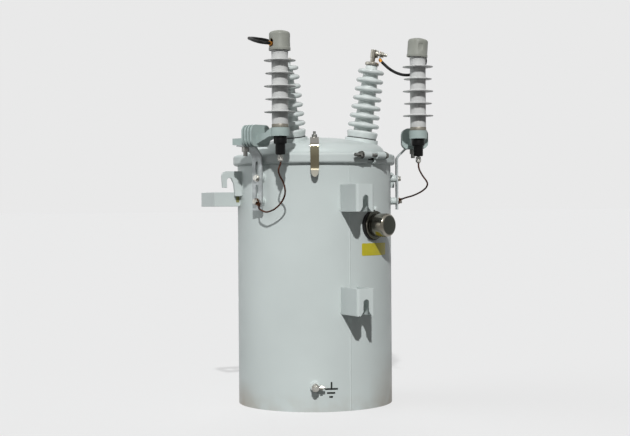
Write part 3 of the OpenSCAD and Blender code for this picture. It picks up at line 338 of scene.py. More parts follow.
def lugCopper():
    # copper, greyed by its nut and washer round the terminal's stud
    look = {
        "pale": tint(214, 152, 66), "deep": tint(168, 108, 50), "mottle": 50.0,
        "roughness": 0.36, "worn": (0.25, 0.5), "wear": 240.0,
        "ring": tint(148, 146, 138),
        "stud": 1.0126, "reach": 0.009,    # the stud's height, and how far the grey goes above and below it
        "terminals": 0.25,                 # the lugs nearer the tank's axis than this are greyed
    }
    finish, tree, shader = startFinish("lug_copper", look["pale"], look["roughness"], 1.0)
    place = tree.nodes.new("ShaderNodeTexCoord")
    flat = tree.nodes.new("ShaderNodeVectorMath")
    flat.operation = "MULTIPLY"
    flat.inputs[1].default_value = (1.0, 1.0, 0.0)
    away = tree.nodes.new("ShaderNodeVectorMath")
    away.operation = "LENGTH"
    tree.links.new(place.outputs["Object"], flat.inputs[0])
    tree.links.new(flat.outputs["Vector"], away.inputs[0])
    bottom, top = look["stud"] - look["reach"], look["stud"] + look["reach"]
    ring = times(tree, spread(tree, heightAbove(tree), 0.0, 1.0, bottom - mm, bottom + mm),
                 spread(tree, heightAbove(tree), 1.0, 0.0, top - mm, top + mm))
    near = spread(tree, away.outputs["Value"], 1.0, 0.0, look["terminals"], look["terminals"] + mm)
    colour = ramp(tree, grain(tree, look["mottle"], 4.0), look["deep"], look["pale"])
    layOn(tree, shader, over(tree, times(tree, ring, near), colour, look["ring"]),
          spread(tree, grain(tree, look["wear"], 4.0), *look["worn"]))
    return finish


# the darker colour given for faces turned down, where an entry has one, is painted shade
metalLooks = {
    "zinc_steel": {"pale": tint(166, 166, 162), "deep": tint(126, 126, 122), "roughness": 0.32,
                   "grainScale": 220.0, "downShade": tint(50, 49, 45)},
    "galvanised_strip": {"pale": tint(172, 177, 177), "deep": tint(150, 155, 155), "roughness": 0.5,
                         "grainScale": 220.0, "bare": 0.45},
    "tinned_metal": {"pale": tint(198, 197, 191), "deep": tint(160, 158, 151), "roughness": 0.28,
                     "grainScale": 260.0, "downShade": tint(88, 84, 74), "downShadeTop": 0.2},
    "terminal_metal": {"pale": tint(194, 191, 181), "deep": tint(158, 154, 143), "roughness": 0.28,
                       "grainScale": 260.0, "downShade": tint(88, 84, 74)},
    "collar_metal": {"pale": tint(136, 133, 124), "deep": tint(108, 105, 96), "roughness": 0.5,
                     "grainScale": 260.0},
    "aged_copper": {"pale": tint(108, 74, 52), "deep": tint(70, 47, 37), "roughness": 0.46,
                    "grainScale": 240.0},
    "bare_copper_lead": {"pale": tint(88, 58, 46), "deep": tint(52, 34, 29), "roughness": 0.5,
                         "grainScale": 180.0},
}
mouldedLooks = {
    "rubber_seal": {"pale": tint(36, 35, 34), "deep": tint(26, 25, 24), "roughness": 0.6},
    "polymer_housing": {"pale": tint(198, 199, 197), "deep": tint(190, 191, 190), "roughness": 0.42,
                        "shine": 0.12},
    "lv_insulation": {"pale": tint(122, 126, 124), "deep": tint(108, 112, 110), "roughness": 0.42},
    "cap_moulding": {"pale": tint(148, 150, 142), "deep": tint(138, 140, 132), "roughness": 0.44},
    "arm_moulding": {"pale": tint(164, 178, 175), "deep": tint(155, 169, 166), "roughness": 0.44},
    "black_moulding": {"pale": tint(11, 11, 11), "deep": tint(7, 7, 7), "roughness": 0.46, "shine": 0.12},
    "jumper_cover": {"pale": tint(11, 11, 11), "deep": tint(7, 7, 7), "roughness": 0.40, "shine": 0.16},
    "yellow_label": {"pale": tint(194, 183, 40), "deep": tint(184, 172, 34), "roughness": 0.34},
    "black_mark": {"pale": tint(34, 38, 34), "deep": tint(24, 27, 25), "roughness": 0.5},
    "yellow_tag": {"pale": tint(150, 148, 98), "deep": tint(128, 126, 84), "roughness": 0.5},
}
finishes = {
    "tank_paint": tankPaint(),
    "porcelain": porcelainGlaze(),
    "polished_strap": polishedStrap(),
    "polished_cap": polishedCap(),
    "lug_copper": lugCopper(),
}
finishes.update({name: metal(name, **look) for name, look in metalLooks.items()})
finishes.update({name: moulding(name, **look) for name, look in mouldedLooks.items()})
say("finishes mixed")


def pick(piece):
    bpy.ops.object.select_all(action="DESELECT")
    piece.select_set(True)
    bpy.context.view_layer.objects.active = piece


def settle(piece, slot, finish=None):
    # gives a finished piece its material, the slot's own unless another is given, and its body
    piece.data.materials.clear()
    piece.data.materials.append(finish or finishes[slot])
    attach(piece, "root")


def smooth(piece, angle):
    pick(piece)
    bpy.ops.object.shade_smooth_by_angle(angle=math.radians(angle))


# Leads: the same points as in the part's source, in millimetres as there
leadPlan = {
    "jumperDiameter": 0.0085,
    "jumperRoundness": 5,
    "earthDiameter": 0.005,
    "strands": 6,
    "sidesPerStrand": 4,
    "lobeDepth": 0.14,        # of the stranded lead's radius
    "twistPerMetre": 260.0,   # radians of lay along the stranded lead
    "smoothAngle": 60.0,
    "stepsPerPoint": 10,
    "rightJumper": [[164.4, -119.7, 993.1], [170, -126, 985], [178.5, -135, 974], [189, -145.5, 964],
                    [200.5, -155.5, 957], [213, -165, 953], [227, -175, 953], [240, -185, 957],
                    [249.5, -193, 966], [258, -201.5, 977], [261, -206, 988], [260, -206.5, 999],
                    [257, -205, 1007.5], [252, -204, 1012.5], [247, -206.5, 1014.5],
                    [240.9, -212.6, 1014.5]],
    "leftJumper": [[-176.4, -112.7, 1029.1], [-186.5, -112, 1035.5], [-198, -112, 1039.5],
                   [-212, -113, 1041.5], [-226, -116, 1042], [-240, -122, 1042], [-253, -131, 1041],
                   [-264, -143, 1039], [-273, -157, 1037], [-279, -173, 1034], [-281.5, -190, 1030],
                   [-282.5, -206.5, 1025.5], [-279.5, -222, 1021], [-273, -235, 1017],
                   [-263, -242.5, 1015], [-250.2, -243.8, 1014.5]],
    "rightEarth": [[217, -237, 694], [217, -237, 687], [219, -236, 679], [225, -235, 668],
                   [236, -232, 655], [247, -228, 645], [255, -222, 636], [258, -212, 627],
                   [257, -199, 619], [253, -185, 612], [247, -171, 606], [240, -157, 601],
                   [234, -144, 598], [230, -131, 595], [227, -120, 592]],
    "leftEarth": [[-217, -237, 694], [-217, -237, 689], [-220, -236, 681], [-222, -235, 671],
                  [-217, -232, 657], [-207, -229, 642], [-199, -224, 626], [-195, -218, 610],
                  [-195, -208, 595], [-199, -196, 581], [-206, -182, 569], [-215, -168, 561],
                  [-224, -154, 558], [-230, -140, 562], [-233, -127, 568], [-229, -116, 575]],
}


def leadCurve(name, route):
    # one open spline through the route's points
    line = bpy.data.curves.new(name, "CURVE")
    line.dimensions = "3D"
    line.resolution_u = leadPlan["stepsPerPoint"]
    line.use_fill_caps = True
    spline = line.splines.new("BEZIER")
    spline.bezier_points.add(len(route) - 1)
    for knot, point in zip(spline.bezier_points, route):
        knot.co = [length * mm for length in point]
        knot.handle_left_type = knot.handle_right_type = "AUTO"
    piece = bpy.data.objects.new(name, line)
    scene.collection.objects.link(piece)
    return piece


def centreLine(piece):
    # points close together along a bare curve, and its length
    bpy.context.view_layer.update()
    bare = piece.to_mesh()
    points = [vertex.co.copy() for vertex in bare.vertices]
    piece.to_mesh_clear()
    return points, sum((b - a).length for a, b in zip(points, points[1:]))


def jumper(name, route, node):
    piece = leadCurve(name, route)
    points, length = centreLine(piece)
    piece.data.bevel_depth = leadPlan["jumperDiameter"] / 2
    piece.data.bevel_resolution = leadPlan["jumperRoundness"]
    settle(piece, "jumper_cover")
    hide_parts(node)


def ropeCorners(points, sides):
    # a lobed section at each point, carried along the route and turned by the lay
    outer = leadPlan["earthDiameter"] / 2
    lobe = leadPlan["lobeDepth"]
    corners = []
    run = 0.0
    across = None
    for index, point in enumerate(points):
        ahead = (points[min(index + 1, len(points) - 1)] - points[max(index - 1, 0)]).normalized()
        start = across if across is not None else ahead.orthogonal()
        across = (start - start.dot(ahead) * ahead).normalized()
        beside = ahead.cross(across)
        if index:
            run += (point - points[index - 1]).length
        for side in range(sides):
            angle = 2 * math.pi * side / sides
            reach = outer * (1.0 - lobe + lobe * abs(math.cos(angle * leadPlan["strands"] / 2)))
            turned = angle + run * leadPlan["twistPerMetre"]
            corners.append(point + reach * (math.cos(turned) * across + math.sin(turned) * beside))
    return corners


def strandedLead(name, route, node):
    bare = leadCurve(name, route)
    points, length = centreLine(bare)
    bpy.data.objects.remove(bare)
    sides = leadPlan["strands"] * leadPlan["sidesPerStrand"]
    faces = [[ring * sides + side, ring * sides + (side + 1) % sides,
              (ring + 1) * sides + (side + 1) % sides, (ring + 1) * sides + side]
             for ring in range(len(points) - 1) for side in range(sides)]
    last = (len(points) - 1) * sides
    faces += [list(range(sides))[::-1], list(range(last, last + sides))]
    rope = bpy.data.meshes.new(name)
    rope.from_pydata(ropeCorners(points, sides), [], faces)
    piece = bpy.data.objects.new(name, rope)
    scene.collection.objects.link(piece)
    smooth(piece, leadPlan["smoothAngle"])
    settle(piece, "bare_copper_lead")
    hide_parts(node)


jumper("jumper_right", leadPlan["rightJumper"], "hv_jumper_right")
jumper("jumper_left", leadPlan["leftJumper"], "hv_jumper_left")
strandedLead("earth_rope_right", leadPlan["rightEarth"], "earth_lead_right")
strandedLead("earth_rope_left", leadPlan["leftEarth"], "earth_lead_left")
say("leads laid")


# The lid strap is drawn narrower than the solid, with a shorter, tapering tongue, as the photograph shows it
strapPlan = {
    "azimuth": -25.5,
    "share": 0.86,           # of the solid's width
    "tongueLong": 0.032,     # in the solid
    "tongueFlare": 0.25,     # how far the tongue leans out for its length
    "tongueShare": 0.85,     # of the solid's length
    "tongueTaper": 9.0,      # share of the width that is lost, per metre down
}


def narrowStrap(piece):
    plan = strapPlan
    along = alongAt(plan["azimuth"])
    up = outAt(plan["azimuth"], -plan["tongueFlare"], 1.0)
    bendHeight = min(vertex.co.z for vertex in piece.data.vertices) + plan["tongueLong"]
    for vertex in piece.data.vertices:
        below = max(bendHeight - vertex.co.z, 0.0)
        share = plan["share"] * (1.0 - plan["tongueTaper"] * below)
        vertex.co -= along * vertex.co.dot(along) * (1.0 - share)
        vertex.co += up * below * (1.0 - plan["tongueShare"])


# The bushings lean out from their seats on the lid, and their sheds are counted up from there
bushingPlan = {
    "azimuth": 54.0,
    "reach": 0.142,
    "seat": 0.7693,
    "tilt": 8.5,
    "sides": {"hv_bushing_left": -1, "hv_bushing_right": 1},
    "firstShed": 0.040,
    "pitch": 0.0262,
    "count": 7,
    "rootBand": (0.007, 0.0105),   # heights over a shed's middle plane between which its root lies
    "rootShare": 0.8,              # of the root's height in the solid, as the photograph shows it
}


def lowerRoots(piece, side):
    # each shed's upper face meets the core a little lower than in the solid
    plan = bushingPlan
    lean = math.radians(plan["tilt"])
    seat = outAt(side * plan["azimuth"], plan["reach"], plan["seat"])
    axis = outAt(side * plan["azimuth"], math.sin(lean), math.cos(lean))
    for vertex in piece.data.vertices:
        up = (vertex.co - seat).dot(axis) - plan["firstShed"]
        nearest = min(max(round(up / plan["pitch"]), 0), plan["count"] - 1)
        off = up - nearest * plan["pitch"]
        if plan["rootBand"][0] < off < plan["rootBand"][1]:
            vertex.co -= axis * off * (1.0 - plan["rootShare"])


# Every rigid node is dressed: a merged copy with its edges eased, smooth where it is round
easePlan = {
    "mergeGap": 0.00001,
    "flatAngle": 0.3,
    "smoothAngle": 34.0,
    "edgeSteps": 2,
    "otherFinish": {
        "earth_lugs": "aged_copper", "jumper_lugs": "lug_copper", "lid_strap": "polished_strap",
        "tap_changer_cap": "polished_cap", "arrester_strip_left": "galvanised_strip",
        "arrester_strip_right": "galvanised_strip", "earth_clamp": "tinned_metal",
        "arrester_terminals": "polymer_housing", "arrester_strip_bolts": "tinned_metal",
        "arrester_collars": "collar_metal", "hv_terminal_left": "terminal_metal",
        "hv_terminal_right": "terminal_metal", "lv_terminals": "terminal_metal",
    },
    "bends": {"lid_strap": 7.0, "arrester_strip_left": 5.0, "arrester_strip_right": 5.0},   # millimetres
    "bendSteps": 6,
    "bendAngles": (6.0, 80.0),
    "bendLeast": 0.015,       # shorter edges belong to holes and ends
    "flat": [                 # what has flat faces that have to look flat beside their eased edges
        "hanger_upper", "hanger_lower", "lifting_lug_left", "lifting_lug_right", "side_bracket",
        "lid_strap", "arrester_arm_left", "arrester_arm_right", "arrester_strip_left",
        "arrester_strip_right", "clamp_bolt", "arrester_arm_bolts", "arrester_strip_bolts",
        "lid_strap_bolt", "disconnector_studs", "clamp_band", "hv_terminal_left", "hv_terminal_right",
        "jumper_lugs", "earth_clamp",
    ],
    "edges": {                # millimetres
        "hanger_upper": 1.0, "hanger_lower": 1.0, "lifting_lug_left": 1.2, "lifting_lug_right": 1.2,
        "side_bracket": 1.0, "arrester_arm_left": 1.6, "arrester_arm_right": 1.6,
        "arrester_strip_left": 0.7, "arrester_strip_right": 0.7, "lid_strap": 0.5,
        "hv_terminal_left": 0.8, "hv_terminal_right": 0.8, "earth_clamp": 0.7,
        "arrester_cap_left": 0.8, "arrester_cap_right": 0.8, "clamp_band": 0.6,
        "tap_changer_cap": 0.8, "tap_changer_flange": 1.2, "arrester_bosses": 0.6,
        "disconnector_left": 0.6, "disconnector_right": 0.6, "lv_bushings": 1.0,
        "lv_terminals": 0.8, "clamp_bolt": 0.6, "lid_strap_bolt": 0.5, "arrester_arm_bolts": 0.7,
        "arrester_strip_bolts": 0.5, "disconnector_studs": 0.5, "jumper_lugs": 0.4,
        "earth_lugs": 0.4, "earth_boss": 0.8, "hv_bushing_left": 0.8, "hv_bushing_right": 0.8,
        "arrester_collars": 0.6, "lid": 0.6,
    },
}


def roundBends(piece, width):
    # eases the lines where a strip is bent, and not its outline
    meeting = {}
    for face in piece.data.polygons:
        for key in face.edge_keys:
            meeting.setdefault(key, []).append(face.normal.copy())
    weights = piece.data.attributes.new("bevel_weight_edge", "FLOAT", "EDGE")
    least, most = (math.radians(angle) for angle in easePlan["bendAngles"])
    for edge in piece.data.edges:
        sides = meeting.get(edge.key, [])
        first, last = (piece.data.vertices[index].co for index in edge.vertices)
        bent = len(sides) == 2 and least < sides[0].angle(sides[1]) < most
        if bent and (last - first).length > easePlan["bendLeast"]:
            weights.data[edge.index].value = 1.0
    bend = piece.modifiers.new("bend", "BEVEL")
    bend.width = width
    bend.segments = easePlan["bendSteps"]
    bend.limit_method = "WEIGHT"
    bpy.ops.object.modifier_apply(modifier=bend.name)


def easeEdges(piece, width, steps, angle):
    # rounds the edges sharper than the angle
    pick(piece)
    ease = piece.modifiers.new("ease", "BEVEL")
    ease.width = width
    ease.segments = steps
    ease.limit_method = "ANGLE"
    ease.angle_limit = math.radians(angle)
    ease.use_clamp_overlap = True
    bpy.ops.object.modifier_apply(modifier=ease.name)


def dress(node):
    piece = bpy.data.objects.new(node + "_dressed", nodes[node].data.copy())
    scene.collection.objects.link(piece)
    pick(piece)
    if piece.data.has_custom_normals:
        bpy.ops.mesh.customdata_custom_splitnormals_clear()
    bpy.ops.object.mode_set(mode="EDIT")
    bpy.ops.mesh.select_all(action="SELECT")
    bpy.ops.mesh.remove_doubles(threshold=easePlan["mergeGap"])
    bpy.ops.mesh.dissolve_limited(angle_limit=math.radians(easePlan["flatAngle"]))
    bpy.ops.object.mode_set(mode="OBJECT")
    if node == "lid_strap":
        narrowStrap(piece)
    if node in bushingPlan["sides"]:
        lowerRoots(piece, bushingPlan["sides"][node])
    if node in easePlan["bends"]:
        roundBends(piece, easePlan["bends"][node] * mm)
    if node in easePlan["edges"]:
        easeEdges(piece, easePlan["edges"][node] * mm, easePlan["edgeSteps"], easePlan["smoothAngle"])
    smooth(piece, easePlan["smoothAngle"])
    if node in easePlan["flat"]:
        even = piece.modifiers.new("even", "WEIGHTED_NORMAL")
        even.keep_sharp = True
        bpy.ops.object.modifier_apply(modifier=even.name)
    settle(piece, slotOf[node], finishes[easePlan["otherFinish"].get(node, slotOf[node])])
    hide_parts(node)
    return piece


leadNodes = ["hv_jumper_left", "hv_jumper_right", "earth_lead_left", "earth_lead_right"]
dressed = {node: dress(node) for node in sorted(nodes) if node not in leadNodes}
say("nodes dressed")


# Blank label, earth mark and tag: thin sheets laid on what carries them
sheetPlan = {
    "label": {"wide": 0.109, "high": 0.035, "corner": 0.003, "slices": 18, "azimuth": 24.2, "height": 0.450},
    "earthStem": {"wide": 0.0048, "high": 0.020, "corner": 0.0004, "slices": 1, "azimuth": -14.6,
                  "height": 0.0735},
    "earthBar": {"high": 0.0050, "corner": 0.0006},
    "earthBars": [{"wide": 0.0365, "slices": 6, "azimuth": -14.6, "height": 0.0640},
                  {"wide": 0.0235, "slices": 4, "azimuth": -14.9, "height": 0.0530},
                  {"wide": 0.0105, "slices": 2, "azimuth": -15.0, "height": 0.0420}],
    "tag": {"wide": 0.010, "high": 0.018, "corner": 0.002, "slices": 1, "place": (-0.231, 0.0319, 0.5945)},
    "cornerSteps": 3,
    "thick": 0.0003,
    "lift": 0.0002,
    "standOff": 0.245,   # distance from the tank's axis before it is pressed on
}


def sheet(name, plan):
    # a flat sheet with round corners, cut into upright slices so that it can bend
    bpy.ops.object.select_all(action="DESELECT")
    bpy.ops.mesh.primitive_plane_add(size=1.0, location=(0, 0, 0))
    piece = bpy.context.object
    piece.name = name
    piece.scale = (plan["wide"], plan["high"], 1.0)
    bpy.ops.object.transform_apply(location=False, rotation=False, scale=True)
    bpy.ops.object.mode_set(mode="EDIT")
    bpy.ops.mesh.select_all(action="SELECT")
    bpy.ops.mesh.bevel(affect="VERTICES", offset=plan["corner"], segments=sheetPlan["cornerSteps"])
    for cut in range(1, plan["slices"]):
        across = plan["wide"] * (cut / plan["slices"] - 0.5)
        bpy.ops.mesh.select_all(action="SELECT")
        bpy.ops.mesh.bisect(plane_co=(across, 0, 0), plane_no=(1, 0, 0))
    bpy.ops.object.mode_set(mode="OBJECT")
    return piece


def thicken(piece):
    skin = piece.modifiers.new("skin", "SOLIDIFY")
    skin.thickness = sheetPlan["thick"]
    skin.offset = 1.0
    bpy.ops.object.modifier_apply(modifier=skin.name)
    bpy.ops.object.transform_apply(location=True, rotation=True, scale=True)


def standUp(piece, place, azimuth=0.0):
    # stands a piece that was made lying down upright at a place, facing that azimuth
    piece.location = place
    piece.rotation_euler = (math.pi / 2, 0.0, math.radians(azimuth))
    pick(piece)


def pressOnTank(piece, plan):
    # stands the sheet before the wall and presses it on
    standUp(piece, outAt(plan["azimuth"], sheetPlan["standOff"], plan["height"]), plan["azimuth"])
    wrap = piece.modifiers.new("wrap", "SHRINKWRAP")
    wrap.target = dressed["tank_shell"]
    wrap.wrap_method = "PROJECT"
    wrap.use_project_z = True
    wrap.use_positive_direction = False
    wrap.use_negative_direction = True
    wrap.offset = sheetPlan["lift"]
    bpy.ops.object.modifier_apply(modifier=wrap.name)
    thicken(piece)
    return piece


def joined(name, pieces):
    bpy.ops.object.select_all(action="DESELECT")
    for piece in pieces:
        piece.select_set(True)
    bpy.context.view_layer.objects.active = pieces[0]
    bpy.ops.object.join()
    whole = bpy.context.object
    whole.name = name
    return whole


label = pressOnTank(sheet("blank_label", sheetPlan["label"]), sheetPlan["label"])
settle(label, "tank_paint", finishes["yellow_label"])
markPlans = [sheetPlan["earthStem"]] + [{**sheetPlan["earthBar"], **bar} for bar in sheetPlan["earthBars"]]
marks = [pressOnTank(sheet("earth_mark", plan), plan) for plan in markPlans]
settle(joined("earth_mark", marks), "black_moulding", finishes["black_mark"])
tag = sheet("bracket_tag", sheetPlan["tag"])
standUp(tag, sheetPlan["tag"]["place"])
thicken(tag)
settle(tag, "tank_paint", finishes["yellow_tag"])
say("label and marks laid on")


# Small painted stud on the wall just above the tap changer
studPlan = {
    "azimuth": 24.4,
    "height": 0.563,
    "reach": 0.2265,
    "radius": 0.008,
    "long": 0.010,
    "sides": 32,
    "edge": 0.0025,
    "edgeSteps": 4,
    "edgeAngle": 30.0,
    "smoothAngle": 40.0,
}


def wallStud(plan):
    bpy.ops.object.select_all(action="DESELECT")
    bpy.ops.mesh.primitive_cylinder_add(vertices=plan["sides"], radius=plan["radius"], depth=plan["long"])
    piece = bpy.context.object
    piece.name = "wall_stud"
    standUp(piece, outAt(plan["azimuth"], plan["reach"], plan["height"]), plan["azimuth"])
    bpy.ops.object.transform_apply(location=True, rotation=True, scale=True)
    easeEdges(piece, plan["edge"], plan["edgeSteps"], plan["edgeAngle"])
    smooth(piece, plan["smoothAngle"])
    settle(piece, "tank_paint")


wallStud(studPlan)
say("wall stud set")


def ridgedRod(name, route, thick, waist, roundness):
    # a rod along the route, full at every second point and drawn in to its waist at the others
    line = bpy.data.curves.new(name, "CURVE")
    line.dimensions = "3D"
    line.use_fill_caps = True
    line.bevel_depth = thick / 2
    line.bevel_resolution = roundness
    spline = line.splines.new("POLY")
    spline.points.add(len(route) - 1)
    for index, (knot, point) in enumerate(zip(spline.points, route)):
        knot.co = (*point, 1.0)
        knot.radius = 1.0 if index % 2 else waist
    piece = bpy.data.objects.new(name, line)
    scene.collection.objects.link(piece)
    pick(piece)
    bpy.ops.object.convert(target="MESH")
    return bpy.context.object


# Weld beads where the fittings meet the tank wall
weldPlan = {
    "width": 0.0052,
    "ripple": 0.0030,     # length of one ripple
    "waist": 0.80,        # of the bead's width between ripples
    "roundness": 2,
    "sink": 0.0006,       # how far the bead's middle lies in the wall
    "wall": 0.225,
    "smoothAngle": 60.0,
    "hangers": {"side": 0.0290, "feet": [0.274, 0.560], "high": 0.070},
    "lugs": {"azimuth": 95.0, "side": 0.0062, "foot": 0.606, "high": 0.067},
    "bracket": {"ys": [0.0308, 0.0392, 0.1288, 0.1372], "foot": 0.577, "high": 0.036},
    "arresterBosses": {"azimuth": 66.6, "heights": [0.587, 0.653], "radius": 0.0113},
    "earthBoss": {"azimuth": -26.0, "height": 0.071, "radius": 0.0148},
}


def bead(route):
    return ridgedRod("bead", route, weldPlan["width"], weldPlan["waist"], weldPlan["roundness"])


def uprightBead(x, y, foot, high):
    steps = round(2 * high / weldPlan["ripple"])
    return bead([(x, y, foot + high * step / steps) for step in range(steps + 1)])


def onWall(azimuth, height, around=0.0):
    # a point of the wall, moved round it by a length
    turned = azimuth + math.degrees(around / weldPlan["wall"])
    return outAt(turned, weldPlan["wall"] - weldPlan["sink"], height)


def ringBead(azimuth, height, radius):
    steps = 2 * round(2 * math.pi * radius / weldPlan["ripple"])
    turns = [2 * math.pi * step / steps for step in range(steps + 1)]
    return bead([onWall(azimuth, height + radius * math.sin(turn), radius * math.cos(turn))
                 for turn in turns])


def wallDepth(offset):
    # how far out the wall is at an offset to the side
    return math.sqrt((weldPlan["wall"] - weldPlan["sink"]) ** 2 - offset ** 2)


def weldBeads(plan):
    bosses, hangers, lugs, bracket = (plan[key] for key in ("arresterBosses", "hangers", "lugs", "bracket"))
    beads = [ringBead(side * bosses["azimuth"], height, bosses["radius"])
             for side in (1, -1) for height in bosses["heights"]]
    beads.append(ringBead(**plan["earthBoss"]))
    beads += [uprightBead(side * hangers["side"], -wallDepth(hangers["side"]), foot, hangers["high"])
              for foot in hangers["feet"] for side in (-1, 1)]
    for side in (-1, 1):
        for around in (-lugs["side"], lugs["side"]):
            x, y, foot = onWall(side * lugs["azimuth"], lugs["foot"], around)
            beads.append(uprightBead(x, y, foot, lugs["high"]))
    beads += [uprightBead(-wallDepth(y), y, bracket["foot"], bracket["high"]) for y in bracket["ys"]]
    welds = joined("weld_beads", beads)
    smooth(welds, plan["smoothAngle"])
    settle(welds, "tank_paint")


weldBeads(weldPlan)
say("weld beads run")


# Threads on the ends of the bolts and studs
disconnectorAxis = (0.2169, -0.2366)   # of the right one, and the left one mirrors it
threadPlan = {
    "proud": 0.0002,
    "depth": 0.0006,
    "roundness": 4,
    "clamp": {"azimuth": 17.0, "reach": 0.2445, "height": 0.7158, "diameter": 0.010, "pitch": 0.0015,
              "runs": [(-0.0711, -0.0555), (-0.0128, 0.0128)]},
    "strap": {"azimuth": strapPlan["azimuth"], "reach": 0.192, "heights": (0.7748, 0.7831),
              "diameter": 0.008, "pitch": 0.00125},
    "arm": {"azimuth": 66.6, "reach": 0.293, "heights": (0.7136, 0.7252),
            "diameter": 0.012, "pitch": 0.00175},
    "disconnector": {"heights": (0.6942, 0.7048), "diameter": 0.009, "pitch": 0.00125},
    "terminal": {"up": 0.2512, "run": (0.0300, 0.0398), "diameter": 0.009, "pitch": 0.00125},
    "earth": {"azimuth": -26.0, "reach": 0.247, "height": 0.071, "runs": [(0.0202, 0.0268)],
              "diameter": 0.008, "pitch": 0.00125},
}


def thread(plan, ends):
    # ridges along a stud, from its one end to the other
    start, end = ends
    thick = plan["diameter"] + 2 * threadPlan["proud"]
    steps = max(2, round(2 * (end - start).length / plan["pitch"]))
    route = [start.lerp(end, step / steps) for step in range(steps + 1)]
    return ridgedRod("thread", route, thick, 1.0 - 2 * threadPlan["depth"] / thick, threadPlan["roundness"])


def levelThreads(plan):
    middle = outAt(plan["azimuth"], plan["reach"], plan["height"])
    along = alongAt(plan["azimuth"])
    return [thread(plan, [middle + step * along for step in run]) for run in plan["runs"]]


def uprightThread(plan, side=1):
    return thread(plan, [outAt(side * plan["azimuth"], plan["reach"], height) for height in plan["heights"]])


def disconnectorThread(plan, side):
    across, back = disconnectorAxis
    return thread(plan, [Vector((side * across, back, height)) for height in plan["heights"]])


def terminalThread(plan, side):
    # square to the bushing's axis, so far up it
    lean = math.radians(bushingPlan["tilt"])
    ends = []
    for out in plan["run"]:
        reach = bushingPlan["reach"] + plan["up"] * math.sin(lean) + out * math.cos(lean)
        height = bushingPlan["seat"] + plan["up"] * math.cos(lean) - out * math.sin(lean)
        ends.append(outAt(side * bushingPlan["azimuth"], reach, height))
    return thread(plan, ends)


threads = levelThreads(threadPlan["clamp"]) + [uprightThread(threadPlan["strap"])]
for side in (-1, 1):
    threads.append(uprightThread(threadPlan["arm"], side))
    threads.append(disconnectorThread(threadPlan["disconnector"], side))
    threads.append(terminalThread(threadPlan["terminal"], side))
threads += levelThreads(threadPlan["earth"])
settle(joined("stud_threads", threads), "zinc_steel")
say("threads cut")


# Washer and lock nut that hold each earth lead under its disconnector
nutPlan = {
    "nut": {"sides": 6, "radius": 0.0076, "low": 0.6966, "high": 0.7026, "edge": 0.0009},
    "washer": {"sides": 32, "radius": 0.0088, "low": 0.7028, "high": 0.7044, "edge": 0.0004},
    "edgeSteps": 2,
    "edgeAngle": 30.0,
    "smoothAngle": 30.0,
}


def turnedPiece(plan, side):
    across, back = disconnectorAxis
    bpy.ops.object.select_all(action="DESELECT")
    bpy.ops.mesh.primitive_cylinder_add(vertices=plan["sides"], radius=plan["radius"],
                                        depth=plan["high"] - plan["low"],
                                        location=(side * across, back, (plan["low"] + plan["high"]) / 2))
    piece = bpy.context.object
    bpy.ops.object.transform_apply(location=True, rotation=True, scale=True)
    easeEdges(piece, plan["edge"], nutPlan["edgeSteps"], nutPlan["edgeAngle"])
    smooth(piece, nutPlan["smoothAngle"])
    return piece


leadNuts = [turnedPiece(nutPlan[kind], side) for side in (-1, 1) for kind in ("nut", "washer")]
settle(joined("lead_nuts", leadNuts), "zinc_steel", finishes["tinned_metal"])
say("lead nuts set")


# Pale floor and background, a key lamp over the camera, and softer lamps from the left and from behind
stagePlan = {
    "background": tint(233, 233, 233),
    "floor": tint(150, 150, 150),
    "floorRoughness": 0.9,
    "floorGlow": 0.54,            # brings the floor level with the background
    "floorBounce": tint(105, 105, 105),
    "floorWide": 400.0,
    "fill": (1.0, 1.0, 1.0, 1.0),
    "fillStrength": 0.185,
    "lampDistance": 4.0,
    "lamps": [
        {"name": "key_lamp", "azimuth": -24.5, "elevation": 36.0, "strength": 2.9, "angle": 1.5,
         "colour": (1.0, 1.0, 1.0), "mirrored": True},
        {"name": "side_lamp", "azimuth": -112.0, "elevation": 25.0, "strength": 0.92, "angle": 60.0,
         "colour": (0.95, 0.98, 1.0), "mirrored": True},
        {"name": "back_lamp", "azimuth": 154.0, "elevation": 14.0, "strength": 1.0, "angle": 30.0,
         "colour": (1.0, 1.0, 1.0), "mirrored": False},
    ],
}


def larger(tree, first, second):
    most = tree.nodes.new("ShaderNodeMath")
    most.operation = "MAXIMUM"
    tree.links.new(first, most.inputs[0])
    tree.links.new(second, most.inputs[1])
    return most.outputs["Value"]


def seenRays(tree):
    # 1 for what the camera sees directly, mirrored or through glass
    rays = tree.nodes.new("ShaderNodeLightPath").outputs
    direct = larger(tree, rays["Is Camera Ray"], rays["Is Glossy Ray"])
    return larger(tree, direct, rays["Is Transmission Ray"])


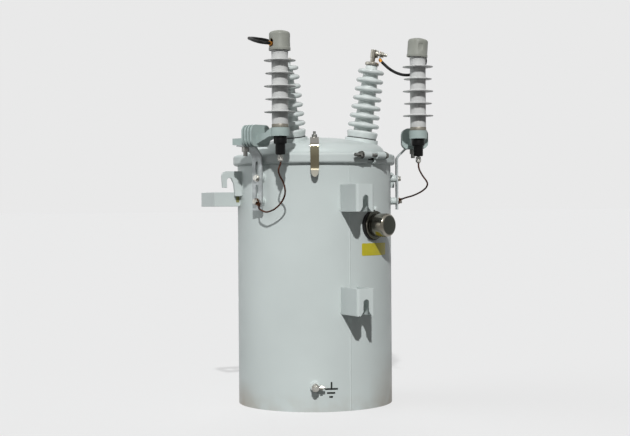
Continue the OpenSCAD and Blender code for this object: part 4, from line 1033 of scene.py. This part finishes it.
def layFloor(plan):
    bpy.ops.object.select_all(action="DESELECT")
    bpy.ops.mesh.primitive_plane_add(size=plan["floorWide"], location=(0, 0, 0))
    floor = bpy.context.object
    floor.name = "studio_floor"
    finish, tree, shader = startFinish("studio_floor", plan["floor"], plan["floorRoughness"])
    shader.inputs["Specular IOR Level"].default_value = 0.0
    shader.inputs["Emission Color"].default_value = (1.0, 1.0, 1.0, 1.0)
    shader.inputs["Emission Strength"].default_value = plan["floorGlow"]
    bounce = tree.nodes.new("ShaderNodeBsdfDiffuse")   # what the floor throws back at the object
    bounce.inputs["Color"].default_value = plan["floorBounce"]
    mix = tree.nodes.new("ShaderNodeMixShader")
    tree.links.new(seenRays(tree), mix.inputs["Fac"])
    tree.links.new(bounce.outputs["BSDF"], mix.inputs[1])
    tree.links.new(shader.outputs["BSDF"], mix.inputs[2])
    tree.links.new(mix.outputs["Shader"], tree.nodes["Material Output"].inputs["Surface"])
    floor.data.materials.append(finish)


def hangLamps(plan):
    for lamp in plan["lamps"]:
        light = bpy.data.lights.new(lamp["name"], "SUN")
        light.energy = lamp["strength"]
        light.angle = math.radians(lamp["angle"])
        light.color = lamp["colour"]
        holder = bpy.data.objects.new(lamp["name"], light)
        scene.collection.objects.link(holder)
        lift = math.radians(lamp["elevation"])
        toLamp = outAt(lamp["azimuth"], math.cos(lift), math.sin(lift))
        holder.rotation_euler = toLamp.to_track_quat("Z", "Y").to_euler()
        holder.location = toLamp * plan["lampDistance"]
        holder.visible_glossy = lamp["mirrored"]


def paintWorld(plan):
    # seen directly or mirrored it is the pale backdrop, and otherwise the fill light
    world = bpy.data.worlds.new("studio_world")
    scene.world = world
    world.use_nodes = True
    tree = world.node_tree
    tree.nodes.clear()
    fill = tree.nodes.new("ShaderNodeBackground")
    fill.inputs["Color"].default_value = plan["fill"]
    fill.inputs["Strength"].default_value = plan["fillStrength"]
    backdrop = tree.nodes.new("ShaderNodeBackground")
    backdrop.inputs["Color"].default_value = plan["background"]
    backdrop.inputs["Strength"].default_value = 1.0
    mix = tree.nodes.new("ShaderNodeMixShader")
    out = tree.nodes.new("ShaderNodeOutputWorld")
    tree.links.new(seenRays(tree), mix.inputs["Fac"])
    tree.links.new(fill.outputs["Background"], mix.inputs[1])
    tree.links.new(backdrop.outputs["Background"], mix.inputs[2])
    tree.links.new(mix.outputs["Shader"], out.inputs["Surface"])


layFloor(stagePlan)
hangLamps(stagePlan)
paintWorld(stagePlan)
scene.view_settings.view_transform = "Standard"
say("studio lit")

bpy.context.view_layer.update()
say("sizes written")
